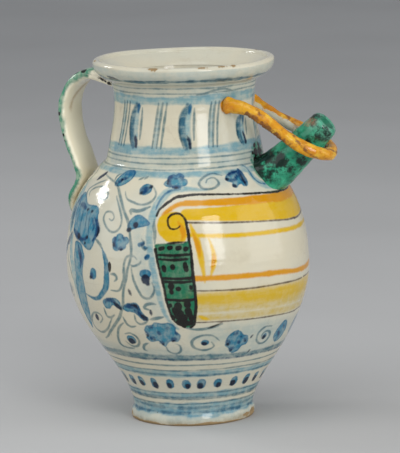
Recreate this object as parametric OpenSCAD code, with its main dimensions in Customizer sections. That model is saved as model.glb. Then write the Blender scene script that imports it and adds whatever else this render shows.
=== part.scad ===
// Spouted jug of tin-glazed earthenware.
// Thrown body sections stand on a turned foot. A strap handle, a tube spout and a rope-twist tie that holds
// the spout to the neck are luted on. The axis is +Z, the spout points to +X and the handle to -X.

/* [Foot] */
// Height of the foot, from the ground to the waist
foot_h = 9; // [6:0.5:14]
// Radius of the flat face that the jug stands on
base_r = 40; // [34:0.5:44]
// Radius of the foot's widest ridge
foot_r = 41.3; // [36:0.1:50]
// Height of the foot's widest ridge
foot_ridge_z = 3.5; // [2:0.25:5]
// Radius of the waist, where the foot carries the body
waist_r = 40; // [34:0.5:46]

/* [Body] */
// Height of the lower body, from the waist to the widest belly
lower_h = 95; // [75:1:120]
// Radius of the widest belly
belly_r = 81; // [72:0.5:92]
// Height of the upper body, from the belly to the base of the neck
upper_h = 69.5; // [58:0.5:84]
// Thickness of the thrown wall
wall = 5.2; // [4:0.1:7]
// Thickness of the floor above the foot
floor_t = 6; // [4:0.5:10]
// Height of the rounding between the floor and the wall inside
floor_round = 12; // [8:0.5:16]

/* [Neck and rim] */
// Radius of the base of the neck
neck_base_r = 52.5; // [47:0.5:58]
// Height of the neck
neck_h = 52; // [44:0.5:62]
// Radius of the top of the neck, under the rim
neck_top_r = 48.5; // [44:0.5:53]
// Height of the rim, lip included
rim_h = 14.5; // [12:0.5:20]
// Radius of the rim's outer edge
rim_r = 60.2; // [55:0.1:70]

/* [Handle] */
// Width of the strap at its widest
handle_w = 31; // [22:0.5:36]
// Thickness of the strap
handle_t = 7.6; // [5:0.1:9]
// How far the strap's middle line stands out from the axis
handle_reach = 82.5; // [77:0.5:92]
// How far the strap's upper corner is drawn in from its reach
handle_corner_in = 8; // [6:0.5:11]
// How far the strap's upper corner lies below its top
handle_corner_drop = 5; // [3:0.5:8]
// Drop from the rim's top to the strap's middle line at the neck
handle_drop = 12; // [10:0.5:16]
// Height above the belly at which the strap comes down to the shoulder
handle_land_h = 54; // [46:0.5:60]
// Height above the belly at which the strap's tail runs out
handle_tail_h = 29; // [22:0.5:40]

/* [Spout] */
// Height above the belly at which the spout's axis leaves the shoulder
spout_h = 59.5; // [50:0.5:66]
// Rise of the spout above level, in degrees
spout_rise = 43.5; // [35:0.5:55]
// Length of the spout along its axis, from the shoulder to the lip
spout_len = 52; // [44:0.5:70]
// Outer radius of the spout at the shoulder
spout_base_r = 13.7; // [11:0.1:17]
// Outer radius of the spout at its lip
spout_tip_r = 9.4; // [8:0.1:12]
// Radius of the spout's bore
spout_bore_r = 5.5; // [4:0.1:6.5]
// Radius of the rounding on the spout's lip
spout_lip_round = 1.8; // [0.8:0.1:2]

/* [Tie] */
// Radius of the twisted strand over its lobes
tie_r = 5; // [3.5:0.1:6]
// Depth of the groove between the two lobes
tie_groove = 0.8; // [0.4:0.1:2]
// Length of strand in which the lobes turn once
tie_pitch = 60; // [25:1:80]
// Drop from the top of the neck to the tie's roots
tie_drop = 15; // [9:0.5:20]
// Angle of each root from the spout's side of the neck, in degrees
tie_spread = 33; // [26:0.5:40]
// Distance along the spout's axis from the shoulder to the bow
tie_along = 33; // [29:0.5:40]
// How far the front arm starts above the tie's plane
tie_front_lift = 6; // [0:0.5:8]
// How far the front root stands above the tie's plane
tie_front_root_lift = 1.5; // [0:0.5:3]
// Radius of the pad that roots the strand on the neck
tie_pad_r = 5.4; // [5:0.1:7.5]
// Length of a pad along the strand, from the neck's skin
tie_pad_len = 11; // [9:0.5:14]
// Gap between the bow and the spout
tie_gap = 0.3; // [0.2:0.05:0.6]

/* [Hidden] */
$fn = 96;

// Colours of the fired glazes
cream = "antiquewhite";
pale_blue = "lightsteelblue";
leaf_green = "mediumseagreen";
ochre = "goldenrod";

// Heights of the joints between the thrown sections
waist_z = foot_h;
belly_z = waist_z + lower_h;
neck_z = belly_z + upper_h;
rim_z = neck_z + neck_h;
top_z = rim_z + rim_h;
floor_z = waist_z + floor_t;

// Steps along each curve of the outline, and round the half circle of the lip
curve_steps = 18;
lip_steps = 8;

// Points along a cubic curve with control points p
function bezier(p, t) =
    let (u = 1 - t)
    u*u*u*p[0] + 3*u*u*t*p[1] + 3*u*t*t*p[2] + t*t*t*p[3];
function curve(p, steps) = [for (i = [0:steps]) bezier(p, i/steps)];
function unit(v) = v/norm(v);
function reversed(list) = [for (i = [len(list) - 1:-1:0]) list[i]];
function without_first(list) = [for (i = [1:len(list) - 1]) list[i]];

// Direction into the wall at point i of an outline that runs upwards
function inward(points, i) =
    let (
        a = points[max(i - 1, 0)],
        b = points[min(i + 1, len(points) - 1)],
        t = unit(b - a)
    )
    [-t[1], t[0]];

// The mitre at a joint: where two inset walls meet, seen from the joint's outer point
function mitre(below, above) =
    let (
        n1 = inward(below, len(below) - 1),
        n2 = inward(above, 0),
        m = unit(n1 + n2)
    )
    m*wall/(m*n1);
function inset(points, first, last) = [
    for (i = [0:len(points) - 1])
        points[i] + (i == 0 ? first : i == len(points) - 1 ? last : wall*inward(points, i))
];

// Outer curves of the thrown sections, each from its lower joint to its upper one
// Pull of each curve at its ends, as lengths of its control arms
waist_flare = 4;
waist_pull = 26;
belly_pull_down = 42;
belly_pull_up = 38;
shoulder_pull = 15;
neck_base_pull = [-3, 16.5];
neck_top_pull = [-4.7, -14.5];
rim_base_pull = [7, 2.6];
rim_edge_pull = 5.5;
lower_curve = curve([
    [waist_r, waist_z], [waist_r + waist_flare, waist_z + waist_pull],
    [belly_r, belly_z - belly_pull_down], [belly_r, belly_z]
], curve_steps);
upper_curve = curve([
    [belly_r, belly_z], [belly_r, belly_z + belly_pull_up],
    [neck_base_r + shoulder_pull, neck_z - shoulder_pull], [neck_base_r, neck_z]
], curve_steps);
neck_curve = curve([
    [neck_base_r, neck_z], [neck_base_r, neck_z] + neck_base_pull,
    [neck_top_r, rim_z] + neck_top_pull, [neck_top_r, rim_z]
], curve_steps);
lip_r = wall/2;
rim_curve = curve([
    [neck_top_r, rim_z], [neck_top_r, rim_z] + rim_base_pull,
    [rim_r, top_z - lip_r - rim_edge_pull], [rim_r, top_z - lip_r]
], curve_steps);

// Joints, as the step from the outer edge of a joint to its inner edge
belly_joint = mitre(lower_curve, upper_curve);
neck_joint = mitre(upper_curve, neck_curve);
rim_joint = mitre(neck_curve, rim_curve);

// The rim's inner side: an open funnel from the neck to the lip
rim_inner_base = [neck_top_r, rim_z] + rim_joint;
rim_inner_edge = [rim_r - wall, top_z - lip_r];
rim_slope = (rim_inner_edge - rim_inner_base)/3;
// How far the funnel bows into the wall
rim_bow = [-0.7, 0.7];
rim_inside = curve([
    rim_inner_base, rim_inner_base + rim_slope + rim_bow,
    rim_inner_edge - rim_slope + rim_bow, rim_inner_edge
], lip_steps);

// Radius of the jug's skin at height z
outline = concat(lower_curve, without_first(upper_curve), without_first(neck_curve), without_first(rim_curve));
function skin_r(z) = lookup(z, [for (p = outline) [p[1], p[0]]]);

// One thrown section between its outer and inner curves
module thrown(outer, inner) {
    rotate_extrude() polygon(concat(outer, reversed(inner)));
}

// The jug's whole outer form, filled, which shapes what is luted on to it
module envelope() {
    rotate_extrude() polygon(concat(
        [[0, waist_z]], outline, [[rim_r - wall, top_z - lip_r], [0, top_z - lip_r]]
    ));
}

// Sweeps closed rings of equal length into a solid, with flat ends
module sweep(rings) {
    count = len(rings);
    sides = len(rings[0]);
    points = [for (ring = rings) for (p = ring) p];
    quads = [
        for (i = [0:count - 2]) for (j = [0:sides - 1])
            let (k = (j + 1) % sides)
            [i*sides + j, i*sides + k, (i + 1)*sides + k, (i + 1)*sides + j]
    ];
    // Each side face is two triangles, because a twisted one isn't flat
    triangles = [for (q = quads) for (f = [[q[0], q[1], q[2]], [q[0], q[2], q[3]]]) f];
    first = [for (j = [sides - 1:-1:0]) j];
    last = [for (j = [0:sides - 1]) (count - 1)*sides + j];
    polyhedron(points, concat(triangles, [first, last]));
}

// Turned foot: a flat disc with a rounded ridge, narrowing to the waist
foot_ridge = [foot_r, foot_ridge_z];
foot_ridge_pull = [0, (foot_h - foot_ridge_z)/2];
foot_curve = concat(
    curve([[base_r, 0], [foot_r, 0], [foot_r, foot_ridge_z/2], foot_ridge], lip_steps),
    without_first(curve([
        foot_ridge, foot_ridge + foot_ridge_pull, [waist_r, foot_h] - foot_ridge_pull, [waist_r, foot_h]
    ], lip_steps))
);
module foot() {
    color(cream) rotate_extrude() polygon(concat([[0, 0]], foot_curve, [[0, foot_h]]));
}

// Lower body: a bowl with its floor, from the waist to the widest belly
module lower_body() {
    walls = inset(lower_curve, wall*inward(lower_curve, 0), belly_joint);
    inside = [for (p = walls) if (p[1] > floor_z + floor_round) p];
    foot_of_wall = inside[0];
    run = unit(inside[0] - inside[1])*floor_round/2;
    floor_edge = [foot_of_wall[0] - floor_round, floor_z];
    rounding = curve([
        foot_of_wall, foot_of_wall + run, floor_edge + [floor_round/2, 0], floor_edge
    ], lip_steps);
    color(cream) rotate_extrude() polygon(concat(
        [[0, waist_z]], lower_curve, reversed(inside), without_first(rounding), [[0, floor_z]]
    ));
}

// Upper body: the shoulder, pierced where the spout pours from
module upper_body() {
    color(cream) difference() {
        thrown(upper_curve, inset(upper_curve, belly_joint, neck_joint));
        on_spout_axis() cylinder(h = 4*wall, r = spout_bore_r, center = true);
    }
}

module neck() {
    color(pale_blue) thrown(neck_curve, inset(neck_curve, neck_joint, rim_joint));
}

// Everted rim with a round lip
module rim() {
    lip = [
        for (i = [1:lip_steps - 1])
            let (a = 180*i/lip_steps)
            [rim_r - lip_r + lip_r*cos(a), top_z - lip_r + lip_r*sin(a)]
    ];
    color(cream) rotate_extrude() polygon(concat(rim_curve, lip, reversed(rim_inside)));
}

// Middle line of the strap, as distance from the axis and height: out under the rim, down in a loose bow,
// in to the shoulder and down along the belly
handle_top_z = top_z - handle_drop;
handle_land_z = belly_z + handle_land_h;
handle_tail_z = belly_z + handle_tail_h;
handle_fall = handle_top_z - handle_land_z;
handle_land_r = skin_r(handle_land_z) + handle_t/2;
handle_tail_r = skin_r(handle_tail_z);
// How far the strap's line lies below its top inside the neck's wall and at its skin, and stands out there
handle_root_drop = 2.5;
handle_neck_drop = 1.5;
handle_neck_out = 1;
// How far the top of the strap is drawn in from midway, and rises
handle_crown_in = 2;
handle_crown_rise = 0.4;
// How far the bow is drawn in from the reach above and below its middle
handle_bow_in_above = 1;
handle_bow_in_below = 0.6;
// How far the strap stands off the shoulder just above its landing
handle_land_lift = 2.8;
handle_knots = [
    [neck_top_r - wall, handle_top_z - handle_root_drop],
    [neck_top_r + handle_neck_out, handle_top_z - handle_neck_drop],
    [(neck_top_r + handle_reach)/2 - handle_crown_in, handle_top_z + handle_crown_rise],
    [handle_reach - handle_corner_in, handle_top_z - handle_corner_drop],
    [handle_reach - handle_bow_in_above, handle_top_z - handle_fall*0.25],
    [handle_reach - handle_bow_in_below, handle_top_z - handle_fall*0.43],
    [handle_land_r + (handle_reach - handle_land_r)*0.7, handle_top_z - handle_fall*0.63],
    [handle_land_r + handle_land_lift, handle_top_z - handle_fall*0.83],
    [handle_land_r, handle_land_z],
    [skin_r((handle_land_z + handle_tail_z)/2) + handle_t*0.42, (handle_land_z + handle_tail_z)/2],
    [handle_tail_r, handle_tail_z]
];
// Share of the strap's width and thickness at each knot
handle_widths = [1.1, 1.12, 1.08, 1.02, 1, 0.98, 0.96, 0.96, 1, 0.98, 0.7];
handle_thicks = [1.8, 1.5, 1.1, 1, 1, 1, 0.98, 0.96, 0.96, 0.85, 0.5];
handle_steps = 4;
handle_sides = 20;

// A smooth line through knots: one cubic from each knot to the next
function through(knots, i, t) =
    let (
        a = knots[max(i - 1, 0)],
        b = knots[i],
        c = knots[i + 1],
        d = knots[min(i + 2, len(knots) - 1)]
    )
    bezier([b, b + (c - a)/6, c - (d - b)/6, c], t);
function along(knots, steps) = concat(
    [for (i = [0:len(knots) - 2]) for (s = [0:steps - 1]) through(knots, i, s/steps)],
    [knots[len(knots) - 1]]
);

// Cross-section of the strap: a flat oval with full edges
strap_power = 0.62;
function bulge(c) = sign(c)*pow(abs(c), strap_power);
module handle() {
    line = along(handle_knots, handle_steps);
    widths = along(handle_widths, handle_steps);
    thicks = along(handle_thicks, handle_steps);
    rings = [
        for (i = [0:len(line) - 1])
            let (n = inward(line, i), half_w = widths[i]*handle_w/2, half_t = thicks[i]*handle_t/2)
            [
                for (j = [0:handle_sides - 1])
                    let (
                        a = 360*j/handle_sides,
                        p = line[i] + n*half_t*bulge(sin(a))
                    )
                    [-p[0], half_w*bulge(cos(a)), p[1]]
            ]
    ];
    color(leaf_green) difference() {
        sweep(rings);
        envelope();
    }
}

// The spout's axis starts on the shoulder's skin
spout_z = belly_z + spout_h;
spout_x = skin_r(spout_z);
spout_dir = [cos(spout_rise), 0, sin(spout_rise)];
// How far the raw tube runs on inside the shoulder before it is trimmed to the skin
spout_tail = spout_base_r + wall;
function spout_r(s) = spout_base_r + (spout_tip_r - spout_base_r)*s/spout_len;
module on_spout_axis() {
    translate([spout_x, 0, spout_z]) rotate([0, 90 - spout_rise, 0]) children();
}

// Spout: a tapered tube with a straight bore, trimmed to the shoulder
module spout() {
    round_z = spout_len - spout_lip_round;
    round_r = spout_tip_r - spout_lip_round;
    lip = [
        for (i = [0:lip_steps])
            let (a = 90*i/lip_steps)
            [round_r + spout_lip_round*cos(a), round_z + spout_lip_round*sin(a)]
    ];
    color(leaf_green) difference() {
        on_spout_axis() rotate_extrude() polygon(concat(
            [[spout_bore_r, -spout_tail], [spout_r(-spout_tail), -spout_tail]],
            lip,
            [[spout_bore_r, spout_len]]
        ));
        envelope();
    }
}

// The tie lies in a plane that runs from its roots on the neck down to the spout
tie_root_z = rim_z - tie_drop;
tie_root = skin_r(tie_root_z)*[cos(tie_spread), sin(tie_spread)];
tie_bow = [spout_x, 0, spout_z] + tie_along*spout_dir;
tie_down = unit([tie_bow[0] - tie_root[0], 0, tie_bow[2] - tie_root_z]);
tie_up = [-tie_down[2], 0, tie_down[0]];
tie_span = norm([tie_bow[0] - tie_root[0], tie_bow[2] - tie_root_z]);
// Radius of the bow's middle line: it clears the tube's widest slice under the strand
tie_bow_r = spout_r(tie_along - tie_r)/(tie_up*spout_dir) + tie_r + tie_gap;
// Seen along the plane, each arm is straight from its root to where it touches the bow. Angles are from the span.
tie_reach = norm([tie_span, tie_root[1]]);
tie_touch = atan2(tie_root[1], -tie_span) - acos(tie_bow_r/tie_reach);
tie_touch_point = [tie_span + tie_bow_r*cos(tie_touch), tie_bow_r*sin(tie_touch)];
tie_arm_start = [0, tie_root[1]] + tie_pad_len*unit(tie_touch_point - [0, tie_root[1]]);
tie_arm_steps = 14;
tie_bow_steps = 30;
tie_sides = 16;

// A point of the tie's plane, given along its fall and across it, and lifted off the plane
function tie_place(p, lift = 0) = [tie_root[0], 0, tie_root_z] + p[0]*tie_down + [0, p[1], 0] + lift*tie_up;
function mirrored(p) = [p[0], -p[1]];
function tie_arm(share) = tie_arm_start + (tie_touch_point - tie_arm_start)*share;

// The strand's middle line: the front arm, which comes down to the plane, the bow and the rear arm
tie_line = concat(
    [
        for (i = [0:tie_arm_steps - 1])
            let (share = i/tie_arm_steps)
            tie_place(mirrored(tie_arm(share)), tie_front_lift*pow(cos(90*share), 2))
    ],
    [
        for (i = [0:tie_bow_steps])
            let (a = -tie_touch + 2*tie_touch*i/tie_bow_steps)
            tie_place([tie_span + tie_bow_r*cos(a), tie_bow_r*sin(a)])
    ],
    [for (i = [1:tie_arm_steps]) tie_place(tie_arm(1 - i/tie_arm_steps))]
);
tie_front_root = tie_place(mirrored([0, tie_root[1]]), tie_front_root_lift);
tie_rear_root = tie_place([0, tie_root[1]]);

// Length of strand from its front end to point i
function tie_walked(i) = i == 0 ? 0 : tie_walked(i - 1) + norm(tie_line[i] - tie_line[i - 1]);

// Strand: two lobes that turn about each other round the spout
module spout_tie() {
    ends = len(tie_line) - 1;
    rings = [
        for (i = [0:ends])
            let (
                before = i == 0 ? tie_front_root : tie_line[i - 1],
                after = i == 0 ? tie_line[0] : i == ends ? tie_rear_root : tie_line[i + 1],
                ahead = unit(after - (i == ends ? tie_line[ends] : before)),
                side = unit(cross(ahead, tie_up)),
                up = cross(side, ahead),
                turn = 360*tie_walked(i)/tie_pitch
            )
            [
                for (j = [0:tie_sides - 1])
                    let (
                        a = 360*j/tie_sides,
                        r = tie_r - tie_groove*(1 - cos(2*(a - turn)))/2
                    )
                    tie_line[i] + r*(cos(a)*up + sin(a)*side)
            ]
    ];
    color(ochre) sweep(rings);
}

// Pad of clay that roots one end of the strand on the neck
module tie_pad(root, end) {
    run = unit(end - root);
    color(ochre) difference() {
        translate(end) rotate([0, acos(run[2]), atan2(run[1], run[0])])
            mirror([0, 0, 1]) cylinder(h = norm(end - root) + tie_pad_r, r = tie_pad_r);
        envelope();
    }
}
module tie_front_pad() { tie_pad(tie_front_root, tie_line[0]); }
module tie_rear_pad() { tie_pad(tie_rear_root, tie_line[len(tie_line) - 1]); }

foot();
lower_body();
upper_body();
neck();
rim();
handle();
spout();
spout_tie();
tie_front_pad();
tie_rear_pad();
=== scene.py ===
"""Looks of a spouted jug of tin-glazed earthenware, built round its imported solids.

Sizes are in millimetres and turn into metres where a mesh is made. The jug's axis is +Z, its spout points
to +X and its handle to -X. Painted strokes are placed by their angle from the spout, positive on the
photographed side, and by their height above the foot.
"""

import math

import bmesh
import bpy
import numpy as np
from mathutils import Matrix, Vector


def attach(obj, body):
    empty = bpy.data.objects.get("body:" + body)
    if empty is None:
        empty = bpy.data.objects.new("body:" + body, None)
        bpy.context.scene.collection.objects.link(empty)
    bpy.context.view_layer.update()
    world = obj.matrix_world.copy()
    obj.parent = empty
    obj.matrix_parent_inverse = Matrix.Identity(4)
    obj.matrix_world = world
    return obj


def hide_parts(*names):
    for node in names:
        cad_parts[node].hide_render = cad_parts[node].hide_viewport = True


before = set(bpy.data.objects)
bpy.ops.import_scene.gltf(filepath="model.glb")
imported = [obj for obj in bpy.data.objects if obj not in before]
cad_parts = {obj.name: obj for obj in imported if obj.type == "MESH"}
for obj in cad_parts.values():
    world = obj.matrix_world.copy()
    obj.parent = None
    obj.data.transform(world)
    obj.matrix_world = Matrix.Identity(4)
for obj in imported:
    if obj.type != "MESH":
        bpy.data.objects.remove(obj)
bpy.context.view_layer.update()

# Metres in a millimetre
MM = 0.001
# Paint further off than this isn't felt
FAR = 6.0
# The least that is divided by
TINY = 1e-9
rng = np.random.default_rng(7)

# Sizes of the thrown body, as in the solids
FOOT_H = 9.0
BASE_R = 40.0
FOOT_R = 41.3
FOOT_RIDGE_Z = 3.5
WAIST_R = 40.0
BELLY_Z = 104.0
BELLY_R = 81.0
NECK_Z = 173.5
NECK_BASE_R = 52.5
RIM_Z = 225.5
NECK_TOP_R = 48.5
RIM_R = 60.2
TOP_Z = 240.0
WALL = 5.2
LIP_R = WALL / 2
FLOOR_Z = 15.0
FLOOR_ROUND = 12.0

# Columns round the outer wall, and how many of them one column of the hidden inner wall takes up
COLUMNS = 704
INNER_RATIO = 8


# Curves


def bezier(p, count):
    """Points along a cubic curve with control points p."""
    t = np.linspace(0, 1, count)[:, None]
    u = 1 - t
    p = np.asarray(p, float)
    return u**3 * p[0] + 3 * u * u * t * p[1] + 3 * u * t * t * p[2] + t**3 * p[3]


def through(knots, steps):
    """A smooth line through knots, with some steps from each knot to the next."""
    k = np.asarray(knots, float)
    if k.ndim == 1:
        k = k[:, None]
    parts = []
    for i in range(len(k) - 1):
        a = k[max(i - 1, 0)]
        b = k[i]
        c = k[i + 1]
        d = k[min(i + 2, len(k) - 1)]
        parts.append(bezier([b, b + (c - a) / 6, c - (d - b) / 6, c], steps + 1)[:-1])
    parts.append(k[-1:])
    return np.concatenate(parts)


def run_along(points):
    """Distance along a line of points, from its start to each of them."""
    return np.concatenate([[0], np.cumsum(np.linalg.norm(np.diff(points, axis=0), axis=1))])


def respaced(points, spacing):
    """The same line with its points an even distance apart, close to spacing."""
    run = run_along(points)
    count = max(int(round(run[-1] / spacing)), 1) + 1
    at = np.linspace(0, run[-1], count)
    return np.stack([np.interp(at, run, values) for values in points.T], axis=1)


def unit(v):
    """Vectors of length 1."""
    return v / np.linalg.norm(v, axis=-1, keepdims=True)


def smooth_share(x, low, high):
    """0 below low, 1 above high, and a soft step between."""
    t = np.clip((x - low) / (high - low), 0, 1)
    return t * t * (3 - 2 * t)


# Outline of the thrown body, as distance from the axis and height
FOOT_MID = (FOOT_H - FOOT_RIDGE_Z) / 2
foot_line = np.concatenate([
    bezier([[BASE_R, 0], [FOOT_R, 0], [FOOT_R, FOOT_RIDGE_Z / 2], [FOOT_R, FOOT_RIDGE_Z]], 60)[:-1],
    bezier([
        [FOOT_R, FOOT_RIDGE_Z], [FOOT_R, FOOT_RIDGE_Z + FOOT_MID],
        [WAIST_R, FOOT_H - FOOT_MID], [WAIST_R, FOOT_H],
    ], 60),
])
lower_line = bezier([[WAIST_R, FOOT_H], [WAIST_R + 4, 35], [BELLY_R, 62], [BELLY_R, BELLY_Z]], 600)
upper_line = bezier([
    [BELLY_R, BELLY_Z], [BELLY_R, 142], [NECK_BASE_R + 15, NECK_Z - 15], [NECK_BASE_R, NECK_Z],
], 600)
neck_line = bezier([
    [NECK_BASE_R, NECK_Z], [NECK_BASE_R - 3, 190], [NECK_TOP_R - 4.7, 211], [NECK_TOP_R, RIM_Z],
], 600)
EDGE_Z = TOP_Z - LIP_R
rim_line = bezier([[NECK_TOP_R, RIM_Z], [55.5, 228.1], [RIM_R, EDGE_Z - 5.5], [RIM_R, EDGE_Z]], 200)
lip_turn = np.linspace(0, math.pi, 41)
lip_line = np.stack([RIM_R - LIP_R + LIP_R * np.cos(lip_turn), EDGE_Z + LIP_R * np.sin(lip_turn)], axis=1)
RIM_INNER_BASE = np.array([44.0, 229.0])
RIM_INNER_EDGE = np.array([RIM_R - WALL, EDGE_Z])
rim_slope = (RIM_INNER_EDGE - RIM_INNER_BASE) / 3
RIM_BOW = np.array([-0.7, 0.7])
funnel_line = bezier([
    RIM_INNER_EDGE, RIM_INNER_EDGE - rim_slope + RIM_BOW,
    RIM_INNER_BASE + rim_slope + RIM_BOW, RIM_INNER_BASE,
], 100)

skin_line = np.concatenate([foot_line, lower_line[1:], upper_line[1:], neck_line[1:], rim_line[1:]])
skin_run = run_along(skin_line)


def skin_radius(z):
    """Radius of the jug's true outer form at a height."""
    return np.interp(z, skin_line[:, 1], skin_line[:, 0])


# The hand-thrown wall leans a little from section to section: shift along X at each height
LEAN = through([
    (0, 0.3), (25, 1.7), (45, 2.0), (70, 0.5), (100, -0.4), (140, -0.9), (166, -0.5), (186, 0), (260, 0),
], 12)
# How far the wall is drawn in and the lip lowered, so that the waver stays inside the solids
DRAWN_IN = 0.34
LIP_LOWERED = 0.45


def leaned(points):
    """Points that lean with the body at their height."""
    points = np.array(points, float)
    points[..., 0] += np.interp(points[..., 2], LEAN[:, 0], LEAN[:, 1])
    return points


def thrown(r, z, angle, rings=1.0):
    """Points of the thrown wall: the outline turned round the axis, with throwing rings and a soft waver."""
    ring = 0.02 * np.sin(z * 1.36 + angle) + 0.015 * np.sin(z * 0.71 - 2 * angle + 1)
    oval = 0.12 * np.sin(2 * angle + z * 0.03) + 0.08 * np.sin(3 * angle - z * 0.05)
    r = r + rings * (ring + oval - DRAWN_IN)
    top = smooth_share(z, RIM_Z, TOP_Z)
    z = z + rings * top * (0.3 * np.sin(2 * angle + 0.6) + 0.15 * np.sin(5 * angle) - LIP_LOWERED)
    return leaned(np.stack([r * np.cos(angle), r * np.sin(angle), z + 0 * angle], axis=-1))


def skin_point(degrees, z):
    """A point of the outer wall at an angle from the spout and a height."""
    angle = -np.radians(np.asarray(degrees, float))
    z = np.asarray(z, float)
    return thrown(skin_radius(z), z, angle)


# Rows of the outer wall, piece by piece, from the foot up and over the lip into the mouth, and their spacing
SECTIONS = {
    "foot": ((foot_line, 0.8),),
    "lower_body": ((lower_line, 0.78),),
    "upper_body": ((upper_line, 0.76),),
    "neck": ((neck_line, 0.66),),
    "rim": ((rim_line, 0.7), (lip_line, 0.55), (funnel_line, 0.9)),
}
row_span = {}
all_rows = []
for piece_name, parts in SECTIONS.items():
    first = max(len(all_rows) - 1, 0)
    for line, spacing in parts:
        all_rows.extend(respaced(line, spacing)[1 if all_rows else 0:])
        if line is rim_line:
            lip_start = len(all_rows)
    row_span[piece_name] = (first, len(all_rows))
all_rows = np.array(all_rows)
column_angle = np.arange(COLUMNS) * 2 * math.pi / COLUMNS
grid = thrown(all_rows[:, :1], all_rows[:, 1:], column_angle[None, :])
column_degrees = -np.degrees(column_angle)
# How much longer than its rise the outline is at each row, and which rows lie below the lip
row_slope = np.gradient(all_rows[:, 0]) / np.maximum(np.abs(np.gradient(all_rows[:, 1])), 1e-3)
row_stretch = np.hypot(1, np.clip(row_slope, -3, 3))[:, None]
below_lip = (np.arange(len(all_rows)) < lip_start)[:, None]
# Distances from the edge of each pigment over the outer wall
fields = {}


def field(name):
    """Distance to the nearest edge of one pigment over the outer wall: below zero inside it."""
    if name not in fields:
        fields[name] = np.full(grid.shape[:2], FAR)
    return fields[name]


def from_edge(d, half):
    """Distance from a stroke's edge, from the distance d to its middle: smooth along that middle."""
    return np.where(d < half, (d * d - half * half) / (2 * half), d - half)


def window(points, reach):
    """The rows and columns of the grid that lie within reach of some points."""
    low = points[:, 2].min() - reach
    high = points[:, 2].max() + reach
    rows = np.nonzero((all_rows[:, 1] > low) & (all_rows[:, 1] < high))[0]
    around = np.arctan2(points[:, 1], points[:, 0])
    middle = math.atan2(np.sin(around).mean(), np.cos(around).mean())
    spread = np.abs((around - middle + math.pi) % (2 * math.pi) - math.pi).max()
    spread += reach / np.hypot(points[:, 0], points[:, 1]).min()
    off = np.abs((column_angle - middle + math.pi) % (2 * math.pi) - math.pi)
    return np.ix_(rows, np.nonzero(off < spread)[0])


def paint(name, points, halves):
    """Lays one stroke on the wall: 3-D points along its middle and its half width at each."""
    target = field(name)
    where = window(points, halves.max() + FAR)
    near = grid[where]
    best = np.full(near.shape[:2], FAR)
    for i in range(len(points) - 1):
        a = points[i]
        ab = points[i + 1] - a
        t = np.clip(((near - a) @ ab) / max(ab @ ab, TINY), 0, 1)
        d = np.linalg.norm(near - a - t[..., None] * ab, axis=-1)
        half = halves[i] + t * (halves[i + 1] - halves[i])
        best = np.minimum(best, from_edge(d, half))
    target[where] = np.minimum(target[where], best)


# Share of a stroke over which each of its ends widens
END_SHARE = 0.35
SOFT_ENDS = (0.45, 0.45)


def taper(count, ends):
    """Share of a stroke's width along it: a soft start and end, and full between."""
    t = np.linspace(0, 1, count)
    start = ends[0] + (1 - ends[0]) * np.sin(np.clip(t / END_SHARE, 0, 1) * math.pi / 2)
    stop = ends[1] + (1 - ends[1]) * np.sin(np.clip((1 - t) / END_SHARE, 0, 1) * math.pi / 2)
    return np.minimum(start, stop)


# The side that the photo doesn't show repeats the painted side, a little off, as a painter's hand would
JITTER = (0.5, 0.32)
# Pigments that spread a little beyond the stroke, on each side
SPREAD = {"line": 0.34, "dark": 0.2, "black": 0.22, "brown": 0.22}
# Length of a stroke's steps, and of a degree round the jug beside them
STROKE_STEP = 1.2
PER_DEGREE = (1.2, 1)
KNOT_STEPS = 8
# A stroke's width shakes by this share, every few steps, and less if it is wider than a steady one
SHAKE = 0.10
SHAKE_STEPS = 4
STEADY_WIDTH = 3
THINNEST_HALF = 0.2


def by_hand(points, side):
    """Points of one motif on the photographed side, or the same on the other side.

    Points are pairs of angle and height, or those numbers in turn.
    """
    own = np.reshape(np.asarray(points, float), (-1, 2)) * (side, 1)
    if side < 0:
        own = own + rng.normal(0, 1, 2) * JITTER
    return own


def stroke(name, points, width, ends=SOFT_ENDS, both=True):
    """A brush stroke through points of angle and height. Width is one number, or one for each point."""
    for side in (1, -1) if both else (1,):
        own = by_hand(points, side)
        line = respaced(through(own * PER_DEGREE, KNOT_STEPS), STROKE_STEP) / PER_DEGREE
        widths = np.broadcast_to(np.asarray(width, float), len(own))
        halves = through(widths / 2, KNOT_STEPS)[:, 0]
        halves = np.interp(np.linspace(0, 1, len(line)), np.linspace(0, 1, len(halves)), halves)
        knots = np.arange(0, len(line) + SHAKE_STEPS, SHAKE_STEPS)
        unsteady = SHAKE * min(1, STEADY_WIDTH / widths.max())
        shake = 1 + unsteady * np.interp(np.arange(len(line)), knots, rng.normal(0, 1, len(knots)))
        halves = (halves + SPREAD.get(name, 0)) * taper(len(line), ends) * shake
        paint(name, skin_point(line[:, 0], line[:, 1]), np.maximum(halves, THINNEST_HALF))


def flat(degrees, z, middle):
    """A place on the wall as on paper: the way round the wall from a middle angle, and along the outline."""
    turn = (np.asarray(degrees) - middle + 180) % 360 - 180
    return -np.radians(turn) * skin_radius(z), np.interp(z, skin_line[:, 1], skin_run)


EDGE_STEPS = 5


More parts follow.
